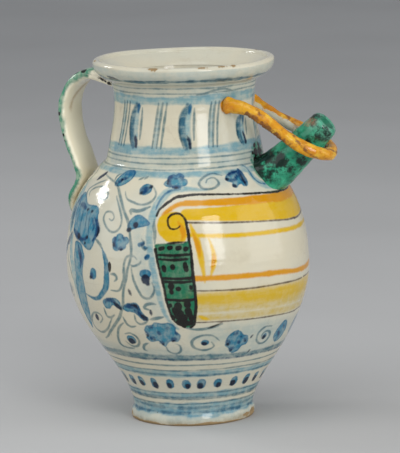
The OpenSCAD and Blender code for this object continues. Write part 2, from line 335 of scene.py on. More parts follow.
def blot(name, outline, both=True):
    """A shape filled with pigment, from points of angle and height round its edge."""
    target = field(name)
    for side in (1, -1) if both else (1,):
        own = by_hand(outline, side)
        own = through(np.concatenate([own[-1:], own, own[:2]]), EDGE_STEPS)[EDGE_STEPS:-EDGE_STEPS - 1]
        middle = own[:, 0].mean()
        where = window(skin_point(own[:, 0], own[:, 1]), FAR)
        u, v = flat(column_degrees[where[1]], all_rows[where[0], 1], middle)
        edge = np.stack(flat(own[:, 0], own[:, 1], middle), axis=1)
        inside = np.zeros(u.shape, bool)
        best = np.full(u.shape, FAR)
        for a, b in zip(edge, np.roll(edge, -1, axis=0)):
            run = b - a
            rise = run[1] if abs(run[1]) > TINY else TINY
            inside ^= ((a[1] > v) != (b[1] > v)) & (u < run[0] * (v - a[1]) / rise + a[0])
            t = np.clip(((u - a[0]) * run[0] + (v - a[1]) * run[1]) / max(run @ run, TINY), 0, 1)
            best = np.minimum(best, np.hypot(u - a[0] - t * run[0], v - a[1] - t * run[1]))
        target[where] = np.minimum(target[where], np.where(inside, -best, best))


def round_about(centre, along, up):
    """Points given in millimetres to the right of a centre and above it, as angles and heights."""
    degrees, z = centre
    slope = (skin_radius(z + 1) - skin_radius(z - 1)) / 2
    z_out = z + np.asarray(up) / math.hypot(1, slope)
    return np.stack([degrees - np.degrees(np.asarray(along) / skin_radius(z)), z_out], axis=1)


def dab(name, centre, width, height, tilt=0.0, both=True):
    """An oval touch of the brush, tilted anticlockwise by some degrees."""
    reach = max(width, height) - min(width, height)
    lean_on = math.radians(tilt + (90 if height > width else 0))
    ends = np.array([-0.5, 0, 0.5]) * max(reach, 0.3)
    points = round_about(centre, ends * math.cos(lean_on), ends * math.sin(lean_on))
    stroke(name, points, min(width, height), ends=(0.9, 0.9), both=both)


def dabs(name, tilt, *spots):
    """Dabs of one tilt, each given as its angle, height on the jug, width and own height."""
    for degrees, z, width, height in spots:
        dab(name, (degrees, z), width, height, tilt)


def curl(centre, radius, start, turns, width=1.0, inner=0.25):
    """A spiral that winds in from a radius, starting at an angle seen from the centre.

    With turns below zero it winds clockwise.
    """
    t = np.linspace(0, 1, max(int(abs(turns) * 9), 5))
    angle = math.radians(start) + t * turns * 2 * math.pi
    r = radius * (1 - (1 - inner) * t)
    stroke("line", round_about(centre, r * np.cos(angle), r * np.sin(angle)), width, ends=(0.7, 0.6))


# Deeper arcs in a flower: pigment, first and last angle, and distance and width as shares of its radius
BLOSSOM_ARCS = (
    ("deep", 135, 230, 0.70, 0.44), ("deep", 250, 300, 0.66, 0.38), ("deep", 15, 55, 0.66, 0.30),
    ("deep", 75, 110, 0.30, 0.24), ("dark", 175, 205, 0.80, 0.24), ("dark", 268, 288, 0.78, 0.22),
)


def blossom(centre, radius, petals, start):
    """A flower: a round of blue with lobes, deeper along its left and lower sides and between the lobes."""
    turn = np.linspace(0, 2 * math.pi, petals * 6, endpoint=False)
    lobes = np.abs(np.cos(petals * turn / 2)) ** 0.8
    uneven = 0.80 + 0.22 * lobes + 0.07 * np.sin(2 * turn + start) + 0.05 * np.sin(3 * turn + 2 * start)
    reach = radius * uneven
    angle = turn + math.radians(start)
    blot("blue", round_about(centre, 1.06 * reach * np.cos(angle), 0.96 * reach * np.sin(angle)))
    for name, first, last, away, wide in BLOSSOM_ARCS:
        a = np.radians(np.linspace(first, last, 4) + 12 * math.sin(start))
        points = round_about(centre, radius * away * np.cos(a), radius * away * np.sin(a))
        stroke(name, points, radius * wide, ends=(0.6, 0.6))


def berry(centre, width, height, dark=0.6):
    """A berry: a blue oval with a dark lower half."""
    dab("blue", centre, width, height)
    dab("dark", (centre[0] + 0.4, centre[1] - height * 0.16), width * dark, height * dark)


def ring(name, z, width, waver, broken):
    """A line or band painted round the whole jug on the wheel."""
    a = column_angle
    sway = waver * (0.6 * np.sin(a * 2 + z) + 0.4 * np.sin(a * 5 + 2 * z) + 0.25 * np.sin(a * 11 + 3 * z))
    half = width / 2 * (1 + 0.16 * np.sin(a * 3 + z) + 0.1 * np.sin(a * 17 + 5 * z))
    if broken:
        gaps = np.sin(a * 7 + z) + 0.8 * np.sin(a * 19 + 2 * z) + 0.5 * np.sin(a * 41)
        half = half * np.clip(1 - broken * gaps, 0.02, 1.2)
    d = np.abs(all_rows[:, 1:] - z - sway[None, :]) * row_stretch
    near = np.where(below_lip, from_edge(d, np.maximum(half, 0.05)[None, :]), FAR)
    fields[name] = np.minimum(field(name), near)


# Lines and washes that were drawn on the turning wheel: pigment, height, width, waver, and how broken. The
# haze ring at 235.4 is painted shade under the lip; the haze ring at 231.5 is painted shade on the rim's
# face as well as a bluish wash.
BANDS = (
    ("haze_and_shade", 231.5, 10.0, 0.40, 0.0), ("band", 229.8, 3.2, 0.50, 0.35), ("line", 230.4, 1.0, 0.45, 0.80),
    ("haze_and_shade", 223.0, 8.0, 0.40, 0.0), ("line", 227.3, 0.9, 0.30, 0.15), ("line", 224.3, 1.0, 0.35, 0.15),
    ("line", 221.2, 0.9, 0.35, 0.10), ("wash", 216.6, 6.2, 0.30, 0.0), ("wash", 184.3, 5.6, 0.30, 0.0),
    ("line", 179.5, 1.1, 0.20, 0.0), ("line", 176.1, 1.0, 0.20, 0.10), ("line", 172.5, 1.1, 0.25, 0.0),
    ("wash", 169.8, 4.4, 0.40, 0.0), ("haze_and_shade", 176.5, 17.0, 0.40, 0.0), ("haze_and_shade", 53.5, 7.0, 0.40, 0.0),
    ("band", 50.2, 4.6, 0.35, 0.05), ("deep", 48.4, 1.0, 0.35, 0.35), ("line", 44.4, 1.4, 0.30, 0.0),
    ("wash", 37.8, 5.4, 0.35, 0.0), ("line", 40.4, 1.2, 0.35, 0.20), ("band", 36.6, 1.4, 0.40, 0.60),
    ("wash", 21.6, 4.4, 0.35, 0.0), ("line", 22.8, 1.1, 0.30, 0.0), ("band", 19.4, 2.2, 0.30, 0.10),
    ("line", 18.4, 0.6, 0.30, 0.30), ("wash", 10.8, 9.4, 0.35, 0.0), ("line", 15.1, 1.2, 0.30, 0.0),
    ("band", 12.4, 1.6, 0.40, 0.75), ("band", 8.8, 1.6, 0.40, 0.75), ("stain_and_shade", 1.4, 2.0, 0.50, 0.60),
    ("haze_and_shade", 7.0, 9.0, 0.40, 0.20), ("haze_and_shade", 235.4, 6.0, 0.40, 0.10),
)
# The row of ovals above the foot: their number, where the first is, and their size
OVALS = 28
OVALS_FROM = -2.3
OVALS_Z = 30
OVAL_W = 5.8
OVAL_H = 9.0


def paint_bands():
    """The wheel-drawn bands, and a row of upright ovals above the foot."""
    for band in BANDS:
        ring(*band)
    for i in range(OVALS):
        at = (OVALS_FROM + 360 * i / OVALS + 0.8 * math.sin(i * 1.7), OVALS_Z + 0.4 * math.sin(i * 3.1))
        wide = OVAL_W + 0.6 * math.sin(i * 5.3)
        high = OVAL_H + 0.6 * math.sin(i * 4.1)
        tilt = 6 * math.sin(i * 2.3)
        dab("blue", at, wide, high, tilt, both=False)
        dark_at = (at[0] + math.sin(i * 2.9), at[1] - 1.5)
        dab("dark", dark_at, wide * 0.72, high * 0.62, tilt, both=False)


# Strokes of the neck, between its two washes. The leaves beside the spout are shorter.
NECK_LEAVES = (16, 65, 109, 153, 198, 243, 288, 333)
SHORT_LEAVES = (16, 333)
NECK_LINES = (44.5, 88, 123, 174, 220, 265, 310, 353)


def neck_stroke(name, a, offsets, width, ends=SOFT_ENDS):
    """A stroke on the neck at an angle, from each point's way round from there and its height."""
    stroke(name, [(a + way, z) for way, z in offsets], width, ends=ends, both=False)


def paint_neck():
    """Upright leaves and groups of three thin lines in turn round the neck."""
    for a in NECK_LEAVES:
        high = 204 if a in SHORT_LEAVES else 214
        middle = (high + 186) / 2
        blade = [(a - 2, high), (a + 2.5, middle + 5), (a + 3, middle - 4), (a, 186)]
        neck_stroke("wash", 0, blade, (4.2, 6.8, 7.0, 4.8), (0.7, 0.7))
        neck_stroke("band", 2.4, blade, (3.0, 4.4, 4.6, 3.4), (0.7, 0.7))
        neck_stroke("line", 4.4, blade[1:], 0.5)
        neck_stroke("blue", a, ((-2, high), (-0.5, high - 6)), (2.6, 1.6))
        neck_stroke("dark", a, ((1.5, 194), (-0.2, 189.5), (-0.5, 186.2)), (1.6, 2.2, 2.0), (0.2, 0.9))
        neck_stroke("line", a, ((-5, high - 2.5), (-4, middle), (-3.6, 191)), 1.1)
    for a in NECK_LINES:
        neck_stroke("wash", a, ((-0.6, 213), (2, 201), (4, 187)), 1.5, (0.5, 0.5))
        for offset in (-3.5, 0, 3.5):
            neck_stroke("line", a + offset, ((-2.4, 215), (0.4, 201), (2.4, 186)), 1.0, (0.7, 0.7))
    stroke("line", (58, 220.2, 50, 221, 42, 222.8, 34, 223, 26, 221), 1.0)
    stroke("dark", (127, 231.8, 122, 231.4, 116, 230.4), 1.8)
    for a in (168, 176, 184, 192):
        dab("black", (a, 228), 5.5, 2.2, tilt=15, both=False)


def paint_scroll():
    """Leaves, berries and curls on wiry stems, from the label round to the handle."""
    # The long stem, from under the neck to the lower bands, with its branches
    stroke("line", (131, 167, 115, 163, 108, 157, 102, 148, 98, 141, 96, 132, 95, 121, 97, 110.7, 98, 104.4,
        100, 95.8, 101, 88.3, 103, 82.8, 106, 77, 112, 70.3, 120, 63, 125, 60), (1.4,) * 11 +
        (1.6, 2.0, 2.4, 2.4, 2.0))
    stroke("line", (110, 156, 105, 149, 102, 142, 103, 136, 107, 134, 111, 137, 114, 142, 113, 146,
        109, 146, 107, 143, 108, 141, 110, 142), 1.1)
    stroke("line", (92, 118, 94, 120, 97, 119.5, 98.5, 116, 99, 110.6, 99, 105.6, 101, 98.7, 103, 96.3,
        107, 96.3), 1.2)
    stroke("line", (96, 115, 94, 113.5, 91, 115, 90, 117), 1.0)
    # Leaf and berry under the neck
    stroke("dark", (137, 163, 131, 168), 3.6)
    blot("blue", (115, 161.6, 116.4, 165.6, 113, 170.2, 107.6, 171.6, 103.6, 170.4, 104.4, 166,
        109.5, 162.2))
    stroke("deep", (115, 163, 111.4, 165.6, 107.6, 167), (3.4, 3.4, 2.0))
    dab("dark", (111.4, 165.4), 1.8, 1.6, tilt=35)
    stroke("line", (117, 164, 118, 167, 115, 169), 1.0)
    stroke("line", (99, 166.3, 96, 167.8), 1.3)
    stroke("line", (95, 167, 93, 168.6), 1.3)
    stroke("line", (105, 159, 102, 155, 97, 153, 92, 152, 87, 154, 85, 158, 87, 162, 90, 164), 1.1)
    dab("blue", (92, 161), 10.2, 9.0, tilt=35)
    dab("deep", (92.4, 160.6), 6.6, 5.6, tilt=35)
    dab("dark", (94.2, 158.8), 2.6, 2.4, tilt=35)
    dab("dark", (89, 162.6), 2.6, 2.0, tilt=35)
    stroke("line", (97, 146, 98, 148.5, 94, 148, 91, 149, 87, 151), 1.6)
    # Heart-shaped leaf, sprig and blossom beside the label
    blot("blue", (97.5, 136, 98, 140, 95.5, 144.6, 92, 146, 89, 144.2, 86, 140.6, 88.5, 139, 93, 137.6))
    dab("dark", (93.6, 139.6), 4.0, 4.2)
    dab("dark", (97, 136.4), 3.6, 3.0)
    dab("blue", (90, 127.8), 5.0, 2.6, tilt=25)
    dab("deep", (90.4, 127.6), 2.4, 1.4, tilt=25)
    dab("blue", (88, 125.8), 2.8, 2.0, tilt=-20)
    dab("blue", (87, 119.8), 4.4, 3.2, tilt=45)
    dab("deep", (87.4, 119.6), 2.2, 1.6, tilt=45)
    stroke("line", (90, 131, 88.5, 129, 89.5, 126.5, 88, 124.4, 86.6, 126), 1.0)
    blossom((101.5, 128), 6.2, 5, 20)
    # The great feather of the left side
    blot("blue", (142, 154.6, 145.5, 151.5, 143.5, 146, 143, 141, 141, 136, 140.5, 131, 139, 128.6,
        135, 127, 131, 125, 127, 122.8, 124, 121, 121, 120.6, 119, 122.6, 117.6, 126.5, 116, 131,
        115.2, 135, 117, 139, 118.5, 142.5, 118.8, 146, 122, 148.6, 131, 148.6, 136, 151.5))
    stroke("wash", (150, 157, 149, 148, 148, 140, 145, 130), (9, 15, 15, 11), ends=(0.6, 0.5))
    stroke("band", (146, 151, 147, 141, 145, 132), (4, 7, 5), ends=(0.6, 0.5))
    for a, top, low in ((139, 147, 134), (133.4, 149, 129), (128.4, 146, 132), (124.8, 144, 127)):
        stroke("line", [(a + 1, top), (a - 0.5, (top + low) / 2), (a - 1.8, low)], 0.4, ends=(0.2, 0.2))
    stroke("deep", (121, 141.7, 117.4, 137.7, 116.4, 133.3, 117.4, 129.7, 119.5, 126.6),
        (2.2, 4.0, 4.6, 3.8, 2.4))
    stroke("deep", (123, 140.8, 119.8, 136.5, 120.4, 133.4), 1.7)
    stroke("dark", (117, 137.2, 115.8, 133.3, 116.6, 130), (0.8, 1.9, 1.0))
    stroke("deep", (142, 146.9, 137, 147, 131, 145.6), (2.6, 3.6, 2.6))
    stroke("deep", (139, 130.6, 133, 127.4, 127, 126.4, 123.6, 129), (3.0, 4.6, 2.6, 3.6))
    dabs("dark", 20, (129, 145.4, 2.8, 2.0), (124.5, 144.8, 2.6, 1.8), (132, 127.8, 4.6, 4.0),
        (124, 128.6, 2.4, 3.2), (125.4, 124.3, 2.4, 1.8))
    stroke("deep", (141, 128.4, 144.6, 123.5, 149, 118.5), (2.6, 5.4, 4.4))
    stroke("dark", (144.6, 123.5, 148.4, 119.2), (1.4, 2.6))
    stroke("line", (137, 152, 140, 156, 135, 160, 126, 164), 1.2)
    stroke("line", (134, 153, 136, 156, 131, 159, 124, 160, 119, 157), 1.1)
    curl((119, 155.5), 4.4, 150, 1.3, 1.1)
    stroke("line", (117, 128.3, 114, 125.8, 112, 123), 1.6)
    # Ring and broad stem below the feather
    stroke("blue", (112, 123, 110, 117.7, 109, 112.9, 109, 106.6, 109.3, 101, 110.4, 97, 113, 93.2,
        115.5, 90.2, 118.5, 88.9, 122, 89.2, 127, 91.4),
        (3.2, 4.4, 4.7, 4.8, 4.7, 4.5, 4.0, 3.6, 3.0, 2.2, 1.6))
    blot("blue", (135, 124, 129, 123.4, 126.6, 119.6, 125, 115.5, 126, 110, 126.8, 103.7, 126, 97,
        126, 91.7, 126.6, 85, 127.5, 79.6, 129, 75, 135, 65, 136, 73, 136, 80, 135.4, 90, 135, 96,
        134.4, 102, 135, 108, 136, 114.4, 135.4, 119))
    stroke("deep", (131.6, 121.6, 129.6, 117.6, 127.8, 113.2, 128.8, 107.4), (2.2, 5.0, 4.2, 2.0))
    stroke("dark", (129.6, 117, 128.2, 113.4), (1.0, 1.6))
    stroke("wash", (140, 127.4, 141, 121.2, 140.4, 114.2, 138, 107.8, 136.4, 97.5, 137, 86),
        (5, 7, 7, 6, 4, 3))
    stroke("line", (147, 118.1, 146, 111.8, 142, 104.4, 138, 97), 1.3)
    dab("blue", (118, 105.7), 7.0, 8.0, tilt=-8)
    dab("deep", (119.2, 104.2), 4.2, 4.4)
    dab("dark", (120, 103), 2.4, 2.4)
    stroke("black", (107, 114.6, 107, 108.6), 2.6)
    stroke("line", (106.5, 107, 104, 107, 103, 104.5, 104.5, 102.5), 1.1)
    # Berry with its curl beside the label
    stroke("line", (95, 112, 94, 104.8, 92, 97.8, 90, 93.4, 87, 92.6, 85, 95, 84, 99, 85, 103), 1.3)
    dab("blue", (88, 108.8), 8.8, 6.0)
    dab("dark", (88, 105.2), 6.2, 6.8)
    dab("dark", (87, 102.4), 3.2, 3.2)
    stroke("dark", (97, 97.8, 96, 94.2), 2.0)
    # Leaves at the fork of the stem
    blot("blue", (113.4, 88.6, 111, 90.2, 107, 91.2, 104, 90.6, 102.6, 87.5, 102.6, 83.6, 105, 84.6,
        107.4, 86, 110, 83.4, 112.4, 83.2, 113.6, 85.6))
    stroke("deep", (112, 87, 110, 89.6, 107, 89.2, 105, 86.6), (2.0, 2.6, 3.0, 3.0))
    stroke("dark", (106.4, 87.8, 104.6, 86, 103, 84), (1.2, 3.0, 3.0))
    blot("blue", (102, 84.6, 100, 87.6, 97, 88.8, 94, 89.2, 92.6, 87.2, 91.8, 83.8, 90.6, 81.2, 88.8, 78.6,
        91, 76.6, 93, 78.4, 95, 81.2, 97, 82.4, 100, 82.6))
    stroke("deep", (100, 86, 96.5, 86.6, 94, 86.4, 93, 84), (3.0, 4.2, 4.0, 3.0))
    stroke("deep", (96, 84.6, 93.4, 82, 91.4, 79.6), (2.2, 3.0, 3.4))
    stroke("dark", (97, 87.4, 94.4, 87, 93.4, 85), (1.4, 2.2, 1.6))
    stroke("dark", (92.4, 80.8, 91.2, 79.4, 90, 77.8), (1.6, 3.2, 3.6))
    stroke("line", (96, 80.9, 96, 76.4, 94, 74.3, 91, 75.5, 89, 77.8), 1.2)
    stroke("line", (103, 78.3, 102, 73.9, 100, 71.9, 97, 72.6), 1.2)
    stroke("line", (114, 83.4, 114, 80.2, 113.6, 77.4, 111, 77.2, 108, 79.2), 1.2)
    stroke("line", (122, 71.3, 118, 75.1, 119, 78.1, 123, 78.5, 127, 75.6, 130, 71, 130, 66.5, 127, 64.3,
        123, 64.8, 117, 68.5, 113, 73.3, 110, 77.5), 1.2)
    stroke("dark", (122, 77.3, 123, 73.3), 3.4)
    stroke("line", (104, 74.1, 108, 70.5, 111, 65.4, 113, 60.9, 113, 57.1, 109, 55.6, 104, 55.6), 1.3)
    berry((103, 62.3), 8.0, 7.6, 0.7)
    curl((103, 62.3), 6.0, 200, 0.8, 1.1, inner=0.9)
    # The broad blossom under the label's roll, with its curls
    blot("blue", (92.8, 69.8, 91, 73.4, 88, 74.2, 86, 76, 82, 75.4, 78.6, 76, 75.6, 73, 75.8, 70, 73.6, 67,
        75.4, 62.4, 79, 62.6, 81, 61.4, 83.6, 58.4, 86.4, 62.4, 90.6, 61.6, 93, 64.8, 91.6, 67))
    dabs("deep", 20, (91.6, 67.6, 3.6, 4.6), (89.6, 64.4, 4.6, 3.2), (84.8, 61.4, 3.4, 3.2),
        (77.6, 64, 4.8, 3.6), (88.6, 72.4, 3.6, 2.4), (80, 72, 3.0, 1.8), (85, 68.4, 2.4, 3.2),
        (75.6, 68.4, 2.0, 3.4))
    dabs("dark", 20, (91.8, 66.2, 2.0, 2.6), (84.4, 60.2, 2.0, 1.6), (78, 62.8, 2.4, 1.5),
        (88.6, 63.4, 2.0, 1.2))
    stroke("line", (93, 60.6, 96, 58.9, 97.4, 55.6, 95.6, 54.6), 1.4)
    stroke("line", (83, 58.4, 82, 54.8, 78, 53.4, 75, 55.4, 75, 59.4, 77, 60.6), 1.0)
    stroke("line", (87, 84.6, 90, 85.8, 89, 88, 86, 89.1, 84, 88.6), 1.3)
    stroke("dark", (87, 84.6, 87, 81), 1.5)
    stroke("line", (88, 78, 81, 80), 1.8)
    # Under the handle, out of the photo's sight
    stroke("line", (150, 66, 154, 76, 152, 88, 156, 100, 161, 112, 160, 122, 164, 130), 1.2)
    curl((163, 100), 7, 200, 1.4)
    curl((146, 90), 6, 20, -1.4)
    berry((163, 100), 4.4, 5.6)
    berry((146, 90), 4.2, 5.4)
    blot("blue", (156, 111, 151, 119, 147, 122, 148, 116, 152, 111.5))
    stroke("dark", (153, 113, 149, 118), 2.0)
    blot("blue", (166, 84, 170, 91, 176, 86, 171, 83))
    blossom((170, 67), 8, 6, 10)
    blossom((172, 120), 6.2, 5, 0)
    curl((152, 60), 4.6, 90, 1.3)
    stroke("line", (160, 158, 152, 160, 148, 165, 152, 169), 1.1)
    berry((157, 164), 5, 6)


def paint_front():
    """Sprigs over and under the label, and the paint round the spout's root."""
    blossom((74, 166), 6.8, 5, 60)
    stroke("line", (44, 168, 50, 169.6, 56, 168, 60, 164.5, 57.5, 161.2, 52, 161, 47.5, 163.6, 49.5, 167,
        54, 166.6, 55.5, 164.6), 1.2)
    stroke("haze_and_shade", (62, 165.6, 52, 165.6, 42, 164.6), 8)
    blot("blue", (41.5, 167.5, 37, 169.4, 32, 169.9, 29.5, 170.9, 28, 168.9, 27.4, 166.6, 27.4, 163.1,
        28.6, 160.7, 31.6, 160.4, 33, 162.1, 35, 161.4, 37, 160, 39.4, 161.4, 38.6, 163.4, 41.4, 164.2,
        42.4, 165.7))
    stroke("deep", (29.6, 170.1, 30.2, 166.8, 30, 163.7, 30, 161.2), (3.4, 5.0, 4.6, 3.4))
    stroke("deep", (41, 167.1, 36, 169, 32, 169.3), (1.6, 2.8, 4.0))
    stroke("deep", (40, 165.4, 36.4, 164.8, 33, 167.4), (3.0, 2.6, 4.0))
    dab("dark", (41.4, 165.6), 2.4, 2.2)
    dab("dark", (38, 161.3), 3.0, 2.0)
    stroke("dark", (30, 168, 30.2, 164.6, 29.8, 161.4), (1.0, 1.6, 2.4))
    stroke("wash", (28, 171.1, 24, 171.6, 22.2, 170.1, 21.8, 167.1, 20.6, 163.4, 17.6, 160.2, 12, 157.9,
        6, 156), (2.6, 3, 3.4, 4.4, 4.8, 4.8, 4.2, 3.4))
    stroke("blue", (24, 172, 21.6, 169.8, 21.6, 165.8, 20.4, 162.5, 17.4, 160.4, 11, 159),
        (1.0, 1.2, 1.3, 1.4, 1.4, 1.2))
    # Green that ran from the spout on to the neck and the shoulder
    half = [(4, 184), (7, 180.5), (9.4, 177), (10.4, 174), (13.4, 172.2), (15.6, 169.6), (16.6, 166.6),
        (15.8, 163.6), (13, 161), (9.6, 159), (5, 157)]
    blot("copper", half + [(0, 156)] + [(-a, z) for a, z in half[::-1]] + [(0, 185)], both=False)
    dabs("copper", -20, (7.6, 181.4, 3.0, 2.4), (10.4, 177.4, 3.4, 2.6), (12, 174, 2.6, 2.2),
        (15.8, 170.4, 2.8, 2.2))
    dabs("black", 25, (4, 178.4, 6.0, 6.0), (6.4, 173.6, 4.6, 4.6), (8.6, 178.4, 3.0, 2.2),
        (9.5, 170, 3.4, 4.6), (4, 183, 3.6, 2.4), (11.5, 166, 2.2, 3.0))
    # Ochre that ran on to the neck round the tie's roots
    blot("orange", (36.8, 214.4, 37.8, 211.8, 36.4, 208.4, 33, 206.8, 28, 206.6, 27, 211, 28, 215.2,
        33, 216))
    # Below the label
    stroke("line", (53, 62, 57, 66, 63, 66.2, 68, 62.6, 67, 57.6, 61, 55.6, 56, 58, 57.5, 61.4), 1.2)
    berry((61, 61.2), 5.6, 4.6, 0.7)
    blot("blue", (49.2, 60.9, 48.6, 64, 46.6, 66.6, 44, 68.4, 41.4, 67.6, 39.4, 65, 36.4, 63.4, 35.4, 60,
        36.4, 57.2, 39, 56.4, 40.4, 53.6, 43.4, 52, 46, 53, 47.6, 56, 49.6, 58))
    dabs("deep", 20, (48, 60.2, 3.6, 5.0), (45.4, 55.2, 4.6, 3.4), (44, 66, 3.8, 2.2), (37.6, 61, 2.6, 3.6),
        (41.4, 59.4, 2.4, 3.2), (40.6, 63.4, 2.2, 1.8))
    dabs("dark", 20, (48, 58.8, 1.8, 2.6), (45.6, 54, 2.4, 1.5), (37.4, 59.8, 1.4, 1.8))
    stroke("dark", (33, 63.4, 34.2, 61.5), 1.1)
    stroke("dark", (32, 52.6, 33.2, 51), 0.9)
    curl((24, 61), 8.4, 60, 1.5, 1.2)
    berry((24, 61), 4.4, 4.6, 0.7)
    blot("blue", (15.6, 59, 14.4, 64, 9.8, 69, 5, 66, 4, 58.6, 8.4, 54.4, 12.4, 54.8))
    stroke("deep", (13, 62, 10.6, 60, 9.6, 57), (2.2, 2.8, 2.0))
    stroke("deep", (9, 66, 7, 63), 2.0)


# Heights of the label's stripes, each given at these angles from the spout
LABEL_ANGLES = (68, 52, 38, 20, 8, 0)
STRIPES = (
    ("orange", (153.1, 152.7, 152.2, 151.4, 150.4, 150.2), (4.8, 4.8, 5.2, 6.0, 6.4, 6.4)),
    ("yellow", (146.3, 145.7, 145.0, 143.6, 142.3, 142.0), (8.6, 9.2, 10.8, 12.4, 13.0, 13.2)),
    ("brown", (141.4, 140.3, 139.2, 137.3, 135.7, 135.4), 0.9),
    ("yellow", (133.6, 132.2, 131.3, 130.5, 129.7, 129.5), 2.9),
    ("orange", (105.8, 105.4, 105.0, 103.8, 102.1, 101.8), 3.6),
    ("brown", (97.8, 97.0, 96.5, 96.2, 95.6, 95.5), 0.7),
    ("straw", (89.0, 88.6, 88.0, 87.0, 86.4, 86.4), 13.0),
    ("khaki", (92.2, 91.8, 91.2, 90.4, 90.0, 90.0), (8.6, 9.0, 9.6, 10.2, 9.8, 9.6)),
    ("straw", (79.2, 78.9, 78.5, 77.7, 77.0, 77.0), 5.0),
    ("brown", (75.9, 75.7, 75.3, 74.6, 73.7, 73.5), 0.7),
)
# Edges of the label's roll, from its top down
ROLL_LEFT = [
    (83, 128), (83, 124.8), (82.4, 121.4), (82, 117), (81, 110.2), (80, 104), (79.2, 98), (78.8, 91.7),
    (78, 86.2), (77, 80.6), (75, 76), (71, 73),
]
ROLL_RIGHT = [
    (67, 130.4), (66.2, 124.2), (66, 116.5), (65.8, 109), (65.2, 100.4), (65, 92.3), (65, 86.8), (65.6, 80),
    (66, 75), (68, 72.5),
]
# Bars across the roll: height, left and right end, and width
ROLL_BARS = (
    (121.2, 82, 67, 1.7), (118.3, 81.6, 68, 1.5), (106.1, 80, 66, 1.7), (103.8, 79.6, 66, 1.6),
    (91.8, 78.6, 65, 1.5),
)
# Spots on the roll: angle, height on the jug, width and own height
ROLL_SPOTS = (
    (80, 125.4, 4.4, 2.6), (76, 125.8, 4.0, 3.0), (72, 125.6, 4.6, 3.4), (68.6, 125, 3.0, 2.8),
    (79, 112.4, 3.0, 5.0), (75, 113.5, 3.4, 3.6), (69, 113.6, 2.4, 6.5), (76, 101, 4.6, 4.4),
    (72.8, 99.2, 3.6, 3.0), (67, 100, 2.2, 3.2), (76, 97.2, 2.8, 3.4), (73.4, 87.4, 5.4, 6.0),
    (73.2, 81.6, 6.6, 8.0), (69, 88.6, 4.6, 5.0), (68.6, 83, 4.6, 8.0), (71, 79.4, 5.2, 6.0),
    (75, 84.4, 4.0, 5.4), (67.6, 79.6, 3.8, 6.4), (70.6, 75.6, 5.4, 4.2), (73, 76.8, 6.0, 4.6),
    (68.4, 75.6, 5.4, 3.6), (77, 88, 2.6, 3.4), (76.4, 79.6, 2.4, 4.0),
)


def paint_label():
    """The blank label on the front: a scroll of yellow and orange stripes with a green roll at each end."""
    stroke("wash", (56, 160.5, 63, 161, 71, 161.5, 78, 160, 82, 155, 84.6, 148, 86, 137, 85.6, 125, 84, 111,
        82, 95, 79.5, 80, 74.5, 71.5), (3.4, 5, 6, 6, 5, 4.6, 4.4, 4.4, 4.2, 4, 3.6, 3))
    stroke("blue", (84, 149, 82, 155, 78, 160, 71, 161.4), 1.8)
    for name, heights, width in STRIPES:
        stroke(name, list(zip(LABEL_ANGLES, heights)), width, ends=(0.9, 1.0))
    stroke("orange", (80, 146.4, 77, 149, 74, 151.3, 71, 152.6, 66, 153), 3.6, ends=(0.5, 1))
    stroke("black", (83, 145.5, 82, 149, 79, 152.5, 76, 154.9, 74, 156.4, 71, 157.2, 62, 158, 50, 157.4,
        39, 156.5, 26, 155.4, 14, 154.2, 7, 153.6, 0, 153.4),
        (1.4, 1.9, 1.9, 1.7, 1.4, 1.1, 1.0, 1.0, 1.1, 1.2, 1.3, 1.3, 1.3), ends=(0.7, 1))
    stroke("line", (84, 143.2, 84, 139.3, 83.4, 135.5, 83.2, 128), 1.4)
    stroke("line", (71, 72.4, 66, 71, 61, 71.2, 56, 72.4, 52, 74), 1.6)
    stroke("brown", (59.5, 71.4, 56, 72.9, 52.4, 74.6), (0.7, 1.2, 0.6))
    stroke("yellow", (63.6, 80.4, 61.6, 78.8, 58.6, 77.6), (2.6, 2.4, 1.4))
    stroke("haze_and_shade", (66, 66, 40, 65, 20, 64, 0, 63), 17)
    stroke("haze_and_shade", (89, 152, 91, 138, 90, 120, 87, 100, 84, 84), 9)
    stroke("yellow", (66, 140, 65, 135.8, 64, 133, 63, 129, 62.2, 123, 61.6, 117, 61, 111, 60.4, 103),
        (3.6, 4.4, 4.4, 4.2, 4.0, 3.4, 3.0, 2.4))
    stroke("orange", (65, 135, 63.6, 130, 62.6, 124, 62.2, 119), (2.2, 3.2, 3.2, 2.0))
    stroke("yellow", (58, 132, 56.4, 126, 55.6, 119, 56.2, 113, 57.8, 106), (1.6, 2.2, 3.2, 3.4, 2.2))
    stroke("orange", (55.6, 121, 55.8, 117, 57, 111), (2.0, 2.6, 1.6))
    # The roll's upper curl
    blot("yellow", (82, 143.4, 82.4, 139, 81.6, 135, 79.6, 132, 77, 129.6, 73, 129.2, 69, 129.6, 68, 133,
        68, 139, 68.6, 143.5, 70, 146.4, 73, 148, 77, 147.6, 80.4, 146))
    stroke("orange", (72, 142, 70.4, 138.5, 69.4, 134, 70.4, 130.8), (2, 2.8, 3.4, 2.6))
    stroke("black", (71, 139.6, 72, 138.2, 74, 137.4, 76, 138.1, 77, 140.7, 77, 144.2, 75, 146.5, 72, 147,
        70, 145.7, 68.4, 143.1, 67.8, 139.3, 67.2, 135.4, 67, 130.4), (0.8, 1.0) + (1.1,) * 6 +
        (1.2, 1.4, 1.6, 1.8, 1.9), ends=(0.8, 0.9))
    # The roll's green back with its black bars
    blot("green", ROLL_LEFT + ROLL_RIGHT[::-1] + [(70, 128.6), (77, 128.6)])
    stroke("black", ROLL_LEFT[1:], (1.7, 1.6) + (1.3,) * 7 + (1.6, 1.9), ends=(0.9, 0.8))
    stroke("black", ROLL_RIGHT, 1.6, ends=(0.9, 0.8))
    stroke("black", (77, 128.6, 73, 129, 68.4, 129.4), 1.5)
    for z, left, right, width in ROLL_BARS:
        bar = (left, z + 0.3, (left + right) / 2, z - 0.3, right, z + 0.2)
        stroke("black", bar, width, ends=(0.8, 0.8))
    dabs("black", 12, *ROLL_SPOTS)


